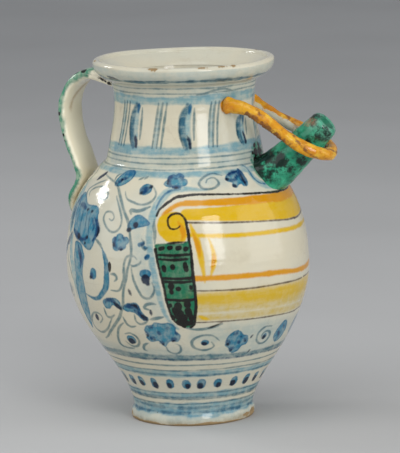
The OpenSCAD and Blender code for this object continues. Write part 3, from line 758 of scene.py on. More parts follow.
# Damage: flakes off the lip's crest, as angle, reach, length for its reach, and depth
LIP_CHIPS = (
    (87.6, 1.7, 2.0, 0.6), (56, 0.9, 3.2, 0.4), (42.6, 0.8, 3.4, 0.4), (34.7, 1.3, 1.8, 0.5),
    (-52, 2.2, 1.6, 1.2), (-100, 1.2, 2.4, 0.5), (-140, 1.6, 1.8, 0.6), (150, 1.0, 2.6, 0.4),
)
# Flakes off the foot, as angle, height, reach, length for its reach, and depth
FOOT_CHIPS = (
    (-6, 3.4, 2.4, 2.2, 0.7), (8, 3.0, 1.4, 2.6, 0.4), (150, 3.0, 1.6, 1.6, 0.4), (-60, 2.6, 1.8, 1.8, 0.5),
    (-120, 2.5, 1.4, 1.6, 0.4),
)
# Where the lip's crest is, and up to what height the foot was wiped bare
CREST_R = np.array(RIM_R - LIP_R / 2)
CREST_Z = np.array(TOP_Z - LIP_R * 0.14)
WIPED_Z = 1.6
# How steeply the wall dips in a flake, beside its way towards the axis
FLAKE_FALL = 20


def paint_wear():
    """Bare clay where the glaze has flaked or was wiped away."""
    lip_rows = slice(*row_span["rim"])
    for degrees, *chip in LIP_CHIPS:
        flake(lip_rows, thrown(CREST_R, CREST_Z, np.array(-math.radians(degrees))), *chip)
    foot_rows = slice(*row_span["foot"])
    for degrees, z, *chip in FOOT_CHIPS:
        flake(foot_rows, skin_point(degrees, z), *chip)
    wave = 0.5 * np.sin(column_angle * 5) + 0.35 * np.sin(column_angle * 13 + 1)
    low = all_rows[:, 1:] - (WIPED_Z + wave[None, :])
    field("bare")[foot_rows] = np.minimum(field("bare"), low)[foot_rows]


def flake(rows, centre, reach, long, depth):
    """One flake: the wall dips towards its axis there, and the clay shows."""
    off = grid[rows] - centre
    tangent = unit(np.array([-centre[1], centre[0], 0]))
    along = off @ tangent
    d = np.sqrt(np.maximum((off * off).sum(axis=-1) - along**2, 0) + (along / long) ** 2)
    ragged = d + 0.25 * np.sin(d * 4 + along * 2.1) + 0.2 * np.sin(along * 3.3)
    field("bare")[rows] = np.minimum(field("bare")[rows], ragged - reach)
    dip = depth * smooth_share(reach - ragged, 0, reach * 0.7)
    inward = -grid[rows]
    inward[..., 2] = -FLAKE_FALL
    grid[rows] += unit(inward) * dip[..., None]


# Meshes


def make_piece(name, points, faces, values, normals=None):
    """A closed mesh object from points in millimetres, with its own shading normals and painted values."""
    mesh = bpy.data.meshes.new(name)
    mesh.from_pydata((np.asarray(points) * MM).tolist(), [], faces)
    mesh.polygons.foreach_set("use_smooth", np.full(len(mesh.polygons), True))
    for key, value in values.items():
        attribute = mesh.attributes.new(key, "FLOAT", "POINT")
        attribute.data.foreach_set("value", np.asarray(value, np.float32))
    mesh.update()
    if normals is not None:
        mesh.normals_split_custom_set_from_vertices(np.asarray(normals, float).tolist())
    piece = bpy.data.objects.new(name, mesh)
    bpy.context.scene.collection.objects.link(piece)
    return piece


def ring_faces(low, high, count):
    """Quads from one ring of points to another, by the index of each ring's first point."""
    j = np.arange(count)
    k = (j + 1) % count
    return np.stack([low + j, low + k, high + k, high + j], axis=1).tolist()


def grid_faces(first, rows, columns, flip=False):
    """Quads of a grid of points that starts at an index, closed round its columns."""
    faces = []
    for low in range(first, first + (rows - 1) * columns, columns):
        faces.extend(ring_faces(low, low + columns, columns))
    return [face[::-1] for face in faces] if flip else faces


def bridge(outer_first, inner_first, inner_count, flip=False):
    """Faces between a ring of the outer wall and a coarser one."""
    ratio = COLUMNS // inner_count
    faces = []
    for k in range(inner_count):
        fine = [outer_first + (k * ratio + s) % COLUMNS for s in range(ratio + 1)]
        face = fine + [inner_first + (k + 1) % inner_count, inner_first + k]
        faces.append(face if not flip else face[::-1])
    return faces


def grid_normals(points):
    """Shading normals of a grid of points, from its neighbours along rows and columns."""
    along = np.roll(points, -1, axis=1) - np.roll(points, 1, axis=1)
    return unit(np.cross(along, np.gradient(points, axis=0)))


# The map for baking: its margins, the share of a piece's width between them, and the share of the inner wall
BAKE_SIDE = 0.02
BAKE_WIDTH = 0.96
BAKE_LOW = 0.01
BAKE_HEIGHT = 0.98
INNER_SHARE = 0.18


def face_corners(mesh):
    """The point at each corner of the faces, and each face's first corner and number of corners."""
    found = []
    wanted = ((mesh.loops, "vertex_index"), (mesh.polygons, "loop_start"), (mesh.polygons, "loop_total"))
    for items, key in wanted:
        values = np.zeros(len(items), int)
        items.foreach_get(key, values)
        found.append(values)
    return found


def strip_uvs(piece, u, v):
    """Lays out a piece on the map for baking, from each corner's place across and up."""
    layer = piece.data.uv_layers.new(name="OFBake")
    layer.data.foreach_set("uv", np.asarray(np.stack([u, v], axis=1), np.float32).reshape(-1))


def lathe_uvs(piece, wall_rows):
    """The outer wall takes the upper part of the map and the rest the lower: round the axis and along it."""
    mesh = piece.data
    corner, starts, totals = face_corners(mesh)
    co = np.zeros(len(mesh.vertices) * 3)
    mesh.vertices.foreach_get("co", co)
    x, y, z = co.reshape(-1, 3).T
    face_of = np.repeat(np.arange(len(starts)), totals)
    u = ((np.arctan2(y, x) / (2 * math.pi)) % 1.0)[corner]
    first = u[starts][face_of]
    u = np.where(u - first > 0.5, u - 1, np.where(first - u > 0.5, u + 1, u))
    outer_face = np.maximum.reduceat(corner, starts)[face_of] < wall_rows * COLUMNS
    upward = (BAKE_HEIGHT - INNER_SHARE) * (corner // COLUMNS) / max(wall_rows - 1, 1)
    rest = np.hypot(x, y) + np.abs(z)
    rest = (rest - rest.min()) / max(np.ptp(rest), TINY)
    v = np.where(outer_face, INNER_SHARE + BAKE_LOW + upward, INNER_SHARE * 0.95 * rest[corner])
    strip_uvs(piece, np.clip(u * BAKE_WIDTH + BAKE_SIDE, 0.0, 1.0), v)


def body_piece(name, inner=None, ratio=INNER_RATIO, floor=(), lid=(), bare=False):
    """A thrown section: its painted outer wall, its inner wall and the joint faces between them.

    Inner is the inner outline from its upper joint down, as distance from the axis and height. Floor and lid
    are the radii of rings that close the section below and above. With bare, the rest of it is bare clay.
    """
    first, last = row_span[name]
    wall = grid[first:last]
    wall_size = wall.shape[0] * COLUMNS
    columns = COLUMNS // ratio
    turn = np.arange(columns) * 2 * math.pi / columns
    points = [wall.reshape(-1, 3)]
    normals = [wall_normals[first:last].reshape(-1, 3)]
    faces = grid_faces(0, wall.shape[0], COLUMNS)
    top = wall_size - COLUMNS
    count = wall_size

    def add(rows, row_normals, flip=False):
        nonlocal count
        points.append(rows.reshape(-1, 3))
        normals.append(row_normals.reshape(-1, 3))
        faces.extend(grid_faces(count, len(rows), columns, flip=flip))
        began = count
        count += len(rows) * columns
        return began, count - columns

    def disc(radii, z, facing):
        rows = np.stack([thrown(np.array(r), np.array(z), turn, rings=0.0) for r in radii])
        facing_all = np.zeros_like(rows)
        facing_all[..., 2] = facing
        began, ended = add(rows, facing_all, flip=facing < 0)
        middle = [ended + j for j in range(columns)]
        faces.append(middle if facing > 0 else middle[::-1])
        return began

    if inner is not None:
        hollow = thrown(inner[:, :1], inner[:, 1:], turn[None, :], rings=0.0)
        began, ended = add(hollow, grid_normals(hollow))
        faces.extend(bridge(top, began, columns))
        if floor:
            faces.append([ended + j for j in range(columns)])
        else:
            faces.extend(bridge(0, ended, columns, flip=True))
    if floor:
        faces.extend(bridge(0, disc(floor, all_rows[first, 1], -1), columns, flip=True))
    if lid:
        faces.extend(bridge(top, disc(lid, all_rows[last - 1, 1], 1), columns))
    if inner is None and not floor:
        faces.extend(ring_faces(top, 0, COLUMNS))

    values = {}
    for key in BODY_FIELDS:
        spread = np.full(count, -FAR if bare and key == "bare" else FAR)
        spread[:wall_size] = field(key)[first:last].reshape(-1)
        values[key] = spread
    piece = make_piece(name + "_glazed", np.concatenate(points), faces, values, np.concatenate(normals))
    lathe_uvs(piece, wall.shape[0])
    return piece


def inset(line, spacing):
    """The inner outline of a section: its outline moved inwards by the wall."""
    line = respaced(line, spacing)
    t = unit(np.gradient(line, axis=0))
    return line + WALL * np.stack([-t[:, 1], t[:, 0]], axis=1)


# Paint first, because flakes also shape the wall
paint_bands()
paint_neck()
paint_scroll()
paint_front()
paint_label()
paint_wear()
wall_normals = grid_normals(grid)
# Pigments of the body in the order they are laid, and the bare clay
BODY_FIELDS = (
    "haze_and_shade", "wash", "band", "line", "blue", "deep", "dark", "stain_and_shade", "straw", "khaki", "yellow", "orange",
    "copper", "green", "brown", "black", "bare",
)
# Radii of the rings that close the sections: the jug's underside, and the joint between foot and bowl
UNDERSIDE = (39.2, 36, 28, 18, 8)
FOOT_JOINT = (30, 15)
FLOOR_RINGS = np.array([20, 12, 5.0])


def build_body():
    """The five thrown sections, each in the place of its solid."""
    neck_inner = inset(neck_line, 2.0)
    neck_inner[-1] = RIM_INNER_BASE
    upper_inner = inset(upper_line, 2.5)
    upper_inner[-1] = neck_inner[0]
    lower_inner = inset(lower_line, 3.0)
    above = lower_inner[lower_inner[:, 1] > FLOOR_Z + FLOOR_ROUND]
    run = unit(above[0] - above[1]) * FLOOR_ROUND / 2
    floor_edge = np.array([above[0, 0] - FLOOR_ROUND, FLOOR_Z])
    rounding = bezier([above[0], above[0] + run, floor_edge + (FLOOR_ROUND / 2, 0), floor_edge], 9)[1:]
    base = np.stack([FLOOR_RINGS, np.full(len(FLOOR_RINGS), FLOOR_Z)], axis=1)
    bowl = np.concatenate([above[::-1], rounding, base])
    pieces = [
        body_piece("foot", floor=UNDERSIDE, lid=FOOT_JOINT, bare=True),
        body_piece("lower_body", bowl, floor=FOOT_JOINT),
        body_piece("upper_body", upper_inner[::-1]),
        body_piece("neck", neck_inner[::-1], ratio=4),
        body_piece("rim"),
    ]
    return dict(zip(SECTIONS, pieces))


# Pieces that are luted on, and how deep their roots lie under the skin
SINK = 0.8


def outside_skin(points):
    """How far points lie outside the jug's outer form, measured from its axis."""
    return np.hypot(points[..., 0], points[..., 1]) - skin_radius(points[..., 2])


def from_skin(lines, count):
    """Lines of points, cut off where each first comes out of the jug's wall and spaced evenly from there on.

    Lines has one row for each step and one column for each line. The cut ends lie just under the skin.
    """
    steps = len(lines)
    out = outside_skin(lines) > -SINK
    start = np.argmax(out, axis=0)
    rows = []
    for share in np.linspace(0, 1, count):
        at = start + (steps - 1 - start) * share
        low = np.minimum(at.astype(int), steps - 2)
        part = (at - low)[:, None]
        column = np.arange(lines.shape[1])
        rows.append(lines[low, column] * (1 - part) + lines[low + 1, column] * part)
    return np.stack(rows)


def pressed_on(points):
    """Points that would lie deep in the wall are brought up to just under the skin."""
    deep = np.minimum(outside_skin(points) + SINK, 0)
    r = np.hypot(points[..., 0], points[..., 1])
    points = points.copy()
    points[..., :2] *= ((r - deep) / np.maximum(r, TINY))[..., None]
    return points


def tube_piece(name, rows, values, loop=False):
    """A closed piece from rings of points: capped at its ends, or with its last ring joined to its first."""
    rings, sides = rows.shape[:2]
    faces = grid_faces(0, rings, sides)
    last = (rings - 1) * sides
    if loop:
        faces.extend(ring_faces(last, 0, sides))
    else:
        faces.append(list(range(sides))[::-1])
        faces.append([last + j for j in range(sides)])
    spread = {key: np.broadcast_to(value, (rings, sides)).reshape(-1) for key, value in values.items()}
    piece = make_piece(name, leaned(rows).reshape(-1, 3), faces, spread)
    mesh = bmesh.new()
    mesh.from_mesh(piece.data)
    bmesh.ops.recalc_face_normals(mesh, faces=mesh.faces)
    mesh.to_mesh(piece.data)
    mesh.free()
    corner, starts, totals = face_corners(piece.data)
    u = (corner % sides) / sides
    wraps = (np.maximum.reduceat(u, starts) - np.minimum.reduceat(u, starts) > 0.5) & (totals == 4)
    u = np.where(np.repeat(wraps, totals) & (u < 0.5), u + 1, u)
    v = BAKE_LOW + BAKE_HEIGHT * (corner // sides) / (rings - 1)
    strip_uvs(piece, u * BAKE_WIDTH + BAKE_SIDE, v)
    return piece


# The strap handle: middle line as distance from the axis and height, with its width and thickness there
HANDLE_W = 31.0
HANDLE_T = 7.6
HANDLE_KNOTS = [
    (43.3, 225.5), (49.5, 226.5), (63.5, 228.4), (74.5, 223), (81.5, 210.5), (81.9, 198), (78.9, 184),
    (73.2, 170), (70.4, 158), (76.5, 145.5), (77.9, 133),
]
HANDLE_WIDTHS = [1.1, 1.12, 1.08, 1.02, 1, 0.98, 0.96, 0.96, 1, 0.98, 0.7]
HANDLE_THICKS = [1.8, 1.5, 1.1, 1, 1, 1, 0.98, 0.96, 0.96, 0.85, 0.5]
HANDLE_STEPS = 40
HANDLE_RINGS = 240
HANDLE_SIDES = 112
# How square the strap's section is: 1 is an oval, 0 a rectangle
STRAP_POWER = 0.62
# The tail ends in a round tongue: where along the strap that begins, and its length, as shares
TONGUE_FROM = 0.93
TONGUE_LENGTH = 0.072
# Depth of the channel down the strap's back, as a share of its thickness, and the inner face's share of it
CHANNEL = 0.12
CHANNEL_INSIDE = 0.6
# How far out from the strap's middle its green coat begins
STRAP_COAT = -0.7
# Share of the strap's length, by the rim, that its green coat leaves out
STRAP_BARE = 0.19
# Share of the strap's length, from the rim, where the coat reaches further in, and how much further
COAT_TOP = 0.36
COAT_TOP_REACH = 1.2
# Dabs on the strap's back, as share of its length, place across it and reach
STRAP_DABS = (
    (0.21, -14, 2.2), (0.23, -11, 2.0), (0.25, -13.4, 1.6), (0.28, -9, 1.8), (0.47, -15, 1.5),
    (0.575, -15, 1.1), (0.60, -14.5, 0.8), (0.48, 6, 2.6), (0.66, 9, 2.2), (0.34, 3, 2.8), (0.78, -3, 2.6),
    (0.57, 12, 2.0),
)
# Dabs on the strap's two sides under the rim, as distance from the axis, height and reach
SIDE_DABS = (
    (53.6, 226.6, 1.2), (51.2, 225.6, 1.4), (48.8, 224.6, 1.1), (46.4, 222.8, 1.5), (45.0, 221.6, 1.0),
)
SIDE_Y = 16.9
# Painted shade, with some brown of its own, along a firing crease across the strap's inner face, from and to
# a place across it and a height
CREASE_SHADE = np.array([(12.0, 222.5), (3.0, 218.0), (-4.5, 211.5), (-7.0, 205.0)])
CREASE_SHADE_REACH = 1.6


def strap_section():
    """Places round the strap's section, an even way apart: across it and through it, each from -1 to 1."""
    a = np.linspace(0, 2 * math.pi, 4001)
    section = np.stack([np.cos(a), np.sin(a)], axis=1)
    section = np.sign(section) * np.abs(section) ** STRAP_POWER * (HANDLE_W, HANDLE_T)
    run = run_along(section)
    even = np.arange(HANDLE_SIDES) * run[-1] / HANDLE_SIDES
    return np.interp(even, run, section[:, 0]) / HANDLE_W, np.interp(even, run, section[:, 1]) / HANDLE_T


def build_handle():
    """A pulled strap: a flat oval with a shallow channel down its back, green outside and cream inside."""
    line = through(HANDLE_KNOTS, HANDLE_STEPS)
    share = np.linspace(0, 1, len(line))[:, None]
    widths = through(HANDLE_WIDTHS, HANDLE_STEPS) * HANDLE_W / 2
    thicks = through(HANDLE_THICKS, HANDLE_STEPS) * HANDLE_T / 2
    tongue = np.sqrt(np.clip(1 - ((share - TONGUE_FROM) / TONGUE_LENGTH).clip(0, 1) ** 2, 0.05, 1))
    ahead = unit(np.gradient(line, axis=0))
    outward = np.stack([-ahead[:, 1], ahead[:, 0]], axis=1)
    across, through_strap = strap_section()
    channel = CHANNEL * np.where(through_strap > 0, 1, CHANNEL_INSIDE) * (1 - across**2) ** 2
    uneven = 1 + 0.02 * np.sin(share * 31) + 0.015 * np.sin(share * 77 + 2)
    width = widths * tongue * uneven * across
    thick = thicks * (0.35 + 0.65 * tongue) * through_strap * (1 - channel) * 0.98
    sway = 0.5 * np.sin(share * 7)
    r = line[:, :1] + outward[:, :1] * thick
    z = line[:, 1:] + outward[:, 1:] * thick
    coat = STRAP_COAT - thick + 0.6 * np.sin(share * 19 + 2) + 0.4 * np.sin(share * 51 + across * 3)
    coat = coat + FAR * smooth_share(STRAP_BARE - share, 0, 0.025)
    coat = coat - COAT_TOP_REACH * smooth_share(COAT_TOP - share, 0, 0.08)
    rows = from_skin(np.stack([-r, width + sway, z, coat], axis=-1), HANDLE_RINGS)
    green = rows[..., 3]
    points = pressed_on(rows[..., :3])
    black = np.full(green.shape, FAR)
    for at, side, reach in STRAP_DABS:
        i = int(at * (len(line) - 1))
        lift = 0.9 - 0.65 * smooth_share(abs(side), 12, 15.5)
        back = line[i] + outward[i] * thicks[i] * lift
        d = np.linalg.norm(points - (-back[0], side, back[1]), axis=-1)
        black = np.minimum(black, d - reach)
    folded = np.stack([-points[..., 0], np.abs(points[..., 1]), points[..., 2]], axis=-1)
    for away, high, reach in SIDE_DABS:
        d = np.linalg.norm(folded - (away, SIDE_Y, high), axis=-1)
        black = np.minimum(black, d - reach)
    # Painted shade along the crease, with some brown of its own
    stain_and_shade = np.full(green.shape, FAR)
    for p, q in zip(CREASE_SHADE, CREASE_SHADE[1:]):
        t = np.clip((points[..., 1:] - p) @ (q - p) / ((q - p) @ (q - p)), 0, 1)
        d = np.linalg.norm(points[..., 1:] - p - t[..., None] * (q - p), axis=-1)
        stain_and_shade = np.minimum(stain_and_shade, np.where(green > 0.8, d - CREASE_SHADE_REACH, FAR))
    values = {"copper": green, "black": black, "stain_and_shade": stain_and_shade, "bare": np.full(green.shape, FAR)}
    return tube_piece("handle_strap", points, values)


# The spout: its axis starts on the shoulder
SPOUT_START = np.array([61.78, 0, 163.5])
SPOUT_RISE = math.radians(43.5)
SPOUT_DIR = np.array([math.cos(SPOUT_RISE), 0, math.sin(SPOUT_RISE)])
SPOUT_UP = np.array([-SPOUT_DIR[2], 0, SPOUT_DIR[0]])
SPOUT_LEN = 52.0
SPOUT_BASE_R = 13.7
SPOUT_TIP_R = 9.4
SPOUT_BORE_R = 5.5
SPOUT_LIP = 2.8
SPOUT_SIDES = 96
SPOUT_RINGS = 130
# How far down its axis the tube is followed to find the skin
SPOUT_DOWN = -22
# How far the glaze runs into the bore from the lip, and the round of the bore's edge
SPOUT_GLAZED = 16
BORE_ROUND = 1.0
# How far the clay is smeared out at the sides of the root, and over what length that fades
SPOUT_SMEAR = 1.3
SMEAR_FADE = 4.5
# How much further the smear climbs the neck above the root
SPOUT_CLIMB = 1.1
# How far the tube widens towards the root on its upper side, and over what length that fades
SPOUT_FLARE = 1.2
FLARE_FADE = 12
# How far the tube narrows at the root on its lower side, and over what length that fades
SPOUT_PINCH = 2.2
PINCH_FADE = 4
# Patches on the tube: place along it, place round it in degrees from its upper side, and reach
SPOUT_BARE = ((45, -40, 3.6), (48, -62, 1.6))
SPOUT_POOLS = (
    (2, -25, 9), (-2, -55, 7), (9, -58, 5.5), (15, -80, 4.5), (4, -92, 3.0), (26, -30, 4.5), (24, -140, 3.5),
    (15, -125, 2.5), (50, -20, 3.0), (47, -150, 2.5), (37, -95, 2.0), (49, -62, 2.0), (43, -110, 2.5),
    (51, -105, 2.2), (14, 40, 6), (26, 80, 5), (4, 100, 6), (44, 60, 3), (34, 150, 4),
)


def spout_radius(s):
    """Radius of the plain tube at a place along its axis."""
    return SPOUT_BASE_R + (SPOUT_TIP_R - SPOUT_BASE_R) * s / SPOUT_LEN


def build_spout():
    """A tapered tube, drawn by hand, with a soft lip, a straight bore and a smear of slip round its root."""
    a = np.arange(SPOUT_SIDES) * 2 * math.pi / SPOUT_SIDES
    round_it = np.cos(a)[:, None] * SPOUT_UP + np.sin(a)[:, None] * np.array([0, 1, 0])
    lip_from = SPOUT_LEN - SPOUT_LIP

    def at(s, r):
        return SPOUT_START + s[..., None] * SPOUT_DIR + r[..., None] * round_it

    s = np.linspace(SPOUT_DOWN, lip_from, 900)[:, None] + 0 * a
    r = spout_radius(s) - 0.15 + 0.12 * np.sin(3 * a + s * 0.11) + 0.08 * np.sin(s * 0.8 + a)
    root = (from_skin(at(s, r), 2)[0] - SPOUT_START) @ SPOUT_DIR
    past = np.maximum(s - root, 0)
    smear = smooth_share(np.abs(np.sin(a)), 0.25, 0.95) + SPOUT_CLIMB * smooth_share(np.cos(a), 0.1, 0.8)
    smear = smear * (1 + 0.15 * np.sin(5 * a))
    r = r + SPOUT_SMEAR * smear * np.exp(-past / SMEAR_FADE)
    r = r + SPOUT_FLARE * (1 + np.cos(a)) / 2 * np.exp(-past / FLARE_FADE)
    r = r - SPOUT_PINCH * smooth_share(-np.cos(a), 0.2, 1.0) * np.exp(-past / PINCH_FADE)
    outer = from_skin(at(s, r), SPOUT_RINGS)
    turn = np.linspace(0, math.pi / 2, 10)[1:, None] + 0 * a
    tip = SPOUT_TIP_R - 0.25 - SPOUT_LIP
    lip = at(lip_from + SPOUT_LIP * np.sin(turn), tip + SPOUT_LIP * np.cos(turn) + 0.1 * np.sin(3 * a))
    turn = np.linspace(math.pi / 2, math.pi, 8)[1:, None] + 0 * a
    rounded = BORE_ROUND * np.cos(turn)
    inside = at(SPOUT_LEN - BORE_ROUND + BORE_ROUND * np.sin(turn), SPOUT_BORE_R + BORE_ROUND + rounded)
    depth = np.linspace(SPOUT_LEN - 1.5, 0, 40)[:, None] + 0 * a
    bore = at(depth, np.full(depth.shape, SPOUT_BORE_R))
    bore[-1:] = pressed_on(bore[-1:])
    rows = np.concatenate([outer, lip, inside, bore])
    seen = len(rows) - len(bore)
    s_all = (rows - SPOUT_START) @ SPOUT_DIR
    white = np.where(s_all < SPOUT_LEN - SPOUT_GLAZED, -FAR, FAR)
    white[:seen] = FAR

    def patches(spots):
        """Distance from the nearest of some patches on the tube's outside."""
        best = np.full(s_all.shape, FAR)
        for along, degrees, reach in spots:
            turn = math.radians(degrees)
            outward = math.cos(turn) * SPOUT_UP + np.array([0, math.sin(turn), 0])
            spot = SPOUT_START + along * SPOUT_DIR + spout_radius(along) * outward
            best = np.minimum(best, np.linalg.norm(rows - spot, axis=-1) - reach)
        best[seen:] = FAR
        return best

    values = {"bare": patches(SPOUT_BARE), "black": patches(SPOUT_POOLS), "white": white, "along": s_all}
    return tube_piece("spout_tube", rows, values, loop=True)


# The tie: a strand from one root on the neck, round the spout and back to the other root
TIE_R = 5.0
TIE_GROOVE = 0.5
TIE_PITCH = 60.0
TIE_ROOT_Z = 210.5
TIE_SPREAD = math.radians(33)
TIE_ALONG = 33.0
TIE_FRONT_LIFT = 6.0
TIE_FRONT_ROOT_LIFT = 1.5
TIE_REAR_DROP = 3.2
# The strand as modelled is a little thinner than its plain form
TIE_THIN = 0.45
TIE_PAD_LEN = 11.0
TIE_PAD_RINGS = 60
# How far a root is followed into the neck to find the skin
TIE_PAD_DOWN = 2.9
TIE_GAP = 0.3
TIE_STEP = 0.5
TIE_SIDES = 64
# Tears along the front arm: how far apart they are drawn, and the depth of the deepest
TEAR_STEP = 1.7
TEAR_DEPTH = 0.6
# Distances from the front root over which the torn part of the arm begins, and over which it ends
TORN_FROM = (10, 15)
TORN_TO = (44, 56)
tie_root = skin_radius(TIE_ROOT_Z) * np.array([math.cos(TIE_SPREAD), math.sin(TIE_SPREAD)])
tie_bow = SPOUT_START + TIE_ALONG * SPOUT_DIR
tie_fall = np.array([tie_bow[0] - tie_root[0], tie_bow[2] - TIE_ROOT_Z])
tie_span = np.linalg.norm(tie_fall)
TIE_DOWN = np.array([tie_fall[0], 0, tie_fall[1]]) / tie_span
TIE_UP = np.array([-TIE_DOWN[2], 0, TIE_DOWN[0]])
tie_bow_r = spout_radius(TIE_ALONG - TIE_R) / (TIE_UP @ SPOUT_DIR) + TIE_R + TIE_GAP
tie_reach = math.hypot(tie_span, tie_root[1])
tie_touch = math.atan2(tie_root[1], -tie_span) - math.acos(tie_bow_r / tie_reach)
tie_touch_point = np.array([tie_span + tie_bow_r * math.cos(tie_touch), tie_bow_r * math.sin(tie_touch)])
tie_arm_start = np.array([0, tie_root[1]]) + TIE_PAD_LEN * unit(tie_touch_point - (0, tie_root[1]))
MIRROR = np.array([1, -1])


def tie_place(p, lift=0.0):
    """A point of the tie's plane, given along its fall and across it, and lifted off the plane, in space."""
    p = np.asarray(p, float)
    across = np.stack([0 * p[..., 1], p[..., 1], 0 * p[..., 1]], axis=-1)
    start = np.array([tie_root[0], 0, TIE_ROOT_Z])
    return start + p[..., :1] * TIE_DOWN + across + np.asarray(lift)[..., None] * TIE_UP


def softened(line, reach, passes):
    """A line of points with its kinks rounded off and its ends kept."""
    kernel = np.full(2 * reach + 1, 1 / (2 * reach + 1))
    for _ in range(passes):
        padded = np.pad(line, ((reach, reach), (0, 0)), mode="reflect", reflect_type="odd")
        line = np.stack([np.convolve(padded[:, k], kernel, mode="valid") for k in range(3)], axis=1)
    return line


arm_share = np.linspace(0, 1, 60)
tie_arm = tie_arm_start + (tie_touch_point - tie_arm_start) * arm_share[:, None]
bow_turn = np.linspace(-tie_touch, tie_touch, 160)[1:-1]
tie_line = respaced(np.concatenate([
    tie_place(np.array([[0, -tie_root[1]]]), np.array([TIE_FRONT_ROOT_LIFT])),
    tie_place(tie_arm * MIRROR, TIE_FRONT_LIFT * np.cos(math.pi / 2 * arm_share) ** 2),
    tie_place(np.stack([tie_span + tie_bow_r * np.cos(bow_turn), tie_bow_r * np.sin(bow_turn)], axis=1)),
    tie_place(tie_arm[::-1], -TIE_REAR_DROP * np.sin(math.pi / 2 * arm_share) ** 2),
    tie_place(np.array([[0, tie_root[1]]]), np.array([-TIE_REAR_DROP])),
]), TIE_STEP)
from_end = np.minimum(np.arange(len(tie_line)), np.arange(len(tie_line))[::-1]) * TIE_STEP
by_root = 1 - smooth_share(from_end, 24, 40)[:, None]
tie_line = softened(tie_line, 9, 5) * by_root + softened(tie_line, 5, 2) * (1 - by_root)
tie_ahead = unit(np.gradient(tie_line, axis=0))
tie_side = unit(np.cross(tie_ahead, TIE_UP))
tie_up = np.cross(tie_side, tie_ahead)
tie_walk = run_along(tie_line)
tie_turn = np.arange(TIE_SIDES) * 2 * math.pi / TIE_SIDES
tear_steps = np.arange(0, tie_walk[-1], TEAR_STEP)
tear_depths = np.clip(rng.normal(0.45, 0.4, len(tear_steps)), 0, 1)


def tie_rings(walked):
    """Rings of the tie at some distances from its front root, and where they are unpainted and browned.

    Two rolls of clay are twisted together slowly. The front arm is torn and browned below, and the inner
    side is unpainted. Distances beyond the ends run straight on.
    """
    walked = np.asarray(walked, float)[:, None]
    a = tie_turn
    left = tie_walk[-1] - walked
    end = np.minimum(walked, left)
    beyond = np.where(walked < 0, walked, 0) - np.where(left < 0, left, 0)

    def along(values):
        return np.stack([np.interp(walked[:, 0], tie_walk, values[:, k]) for k in range(3)], axis=1)

    twist = a - 2 * math.pi * walked / TIE_PITCH
    groove = (1 - np.cos(2 * twist)) / 2
    ridges = (1 - np.cos(5 * twist)) / 2
    r = TIE_R - TIE_THIN + 0.06 * np.sin(walked * 0.31) + 0.05 * np.sin(walked * 0.83 + 2 * a)
    r = r - smooth_share(end, 6, 18) * (TIE_GROOVE * groove + 0.14 * ridges)
    r = r + 0.9 * np.exp(-np.maximum(end, 0) / 2.4) * (1 + 0.25 * np.sin(3 * a + 1))
    r = r * np.sqrt(np.clip(1 - (np.minimum(end - 1.5, 0) / 4.5) ** 2, 0.02, 1))
    r = r + np.exp(-((end / 5) ** 2)) * (0.45 * np.sin(2 * a + 1.3) + 0.3 * np.sin(5 * a + walked))
    below = smooth_share(-np.cos(a + 0.7), 0.35, 0.9)
    on_front = smooth_share(walked, *TORN_FROM) * (1 - smooth_share(walked, *TORN_TO))
    tears = np.interp(walked, tear_steps, tear_depths) + 0.2 * np.sin(walked * 2.7 + 3 * a)
    tears = np.clip(tears, 0, 1)
    r = r - on_front * below * tears * TEAR_DEPTH
    middle = along(tie_line) + beyond * along(tie_ahead)
    spoke = np.cos(a)[None, :, None] * along(tie_up)[:, None, :]
    spoke = spoke + np.sin(a)[None, :, None] * along(tie_side)[:, None, :]
    inner = smooth_share(-0.75 * np.sin(a) - 0.6 * np.cos(a), 0.0, 0.6) * (0.8 + 0.2 * np.sin(walked * 0.5))
    inner = np.maximum(inner, smooth_share(-left, -9, 1) * smooth_share(-np.cos(a), -0.3, 0.5))
    brown = np.clip((0.2 + 0.8 * on_front) * below * (0.55 + 0.45 * tears), 0, 1)
    brown = np.maximum(brown, 0.50 * groove**5 * smooth_share(end, 9, 18))
    return middle[:, None, :] + r[..., None] * spoke, 3.0 - 6.0 * inner, 2.0 - 4.0 * brown


def build_tie():
    """The strand between the two roots."""
    rows, white, brown = tie_rings(np.arange(TIE_PAD_LEN, tie_walk[-1] - TIE_PAD_LEN, TIE_STEP))
    return tube_piece("tie_strand", rows, {"white": white, "brown": brown})


def build_pad(name, front):
    """A root of the tie, pressed on the neck with a thumb: the same line of clay as the strand."""
    walked = np.linspace(-TIE_PAD_DOWN, TIE_PAD_LEN + 0.1, 400)
    rows, white, brown = tie_rings(walked if front else tie_walk[-1] - walked)
    rows = from_skin(np.concatenate([rows, white[..., None], brown[..., None]], axis=-1), TIE_PAD_RINGS)
    return tube_piece(name, rows[..., :3], {"white": rows[..., 3], "brown": rows[..., 4]})


# Materials


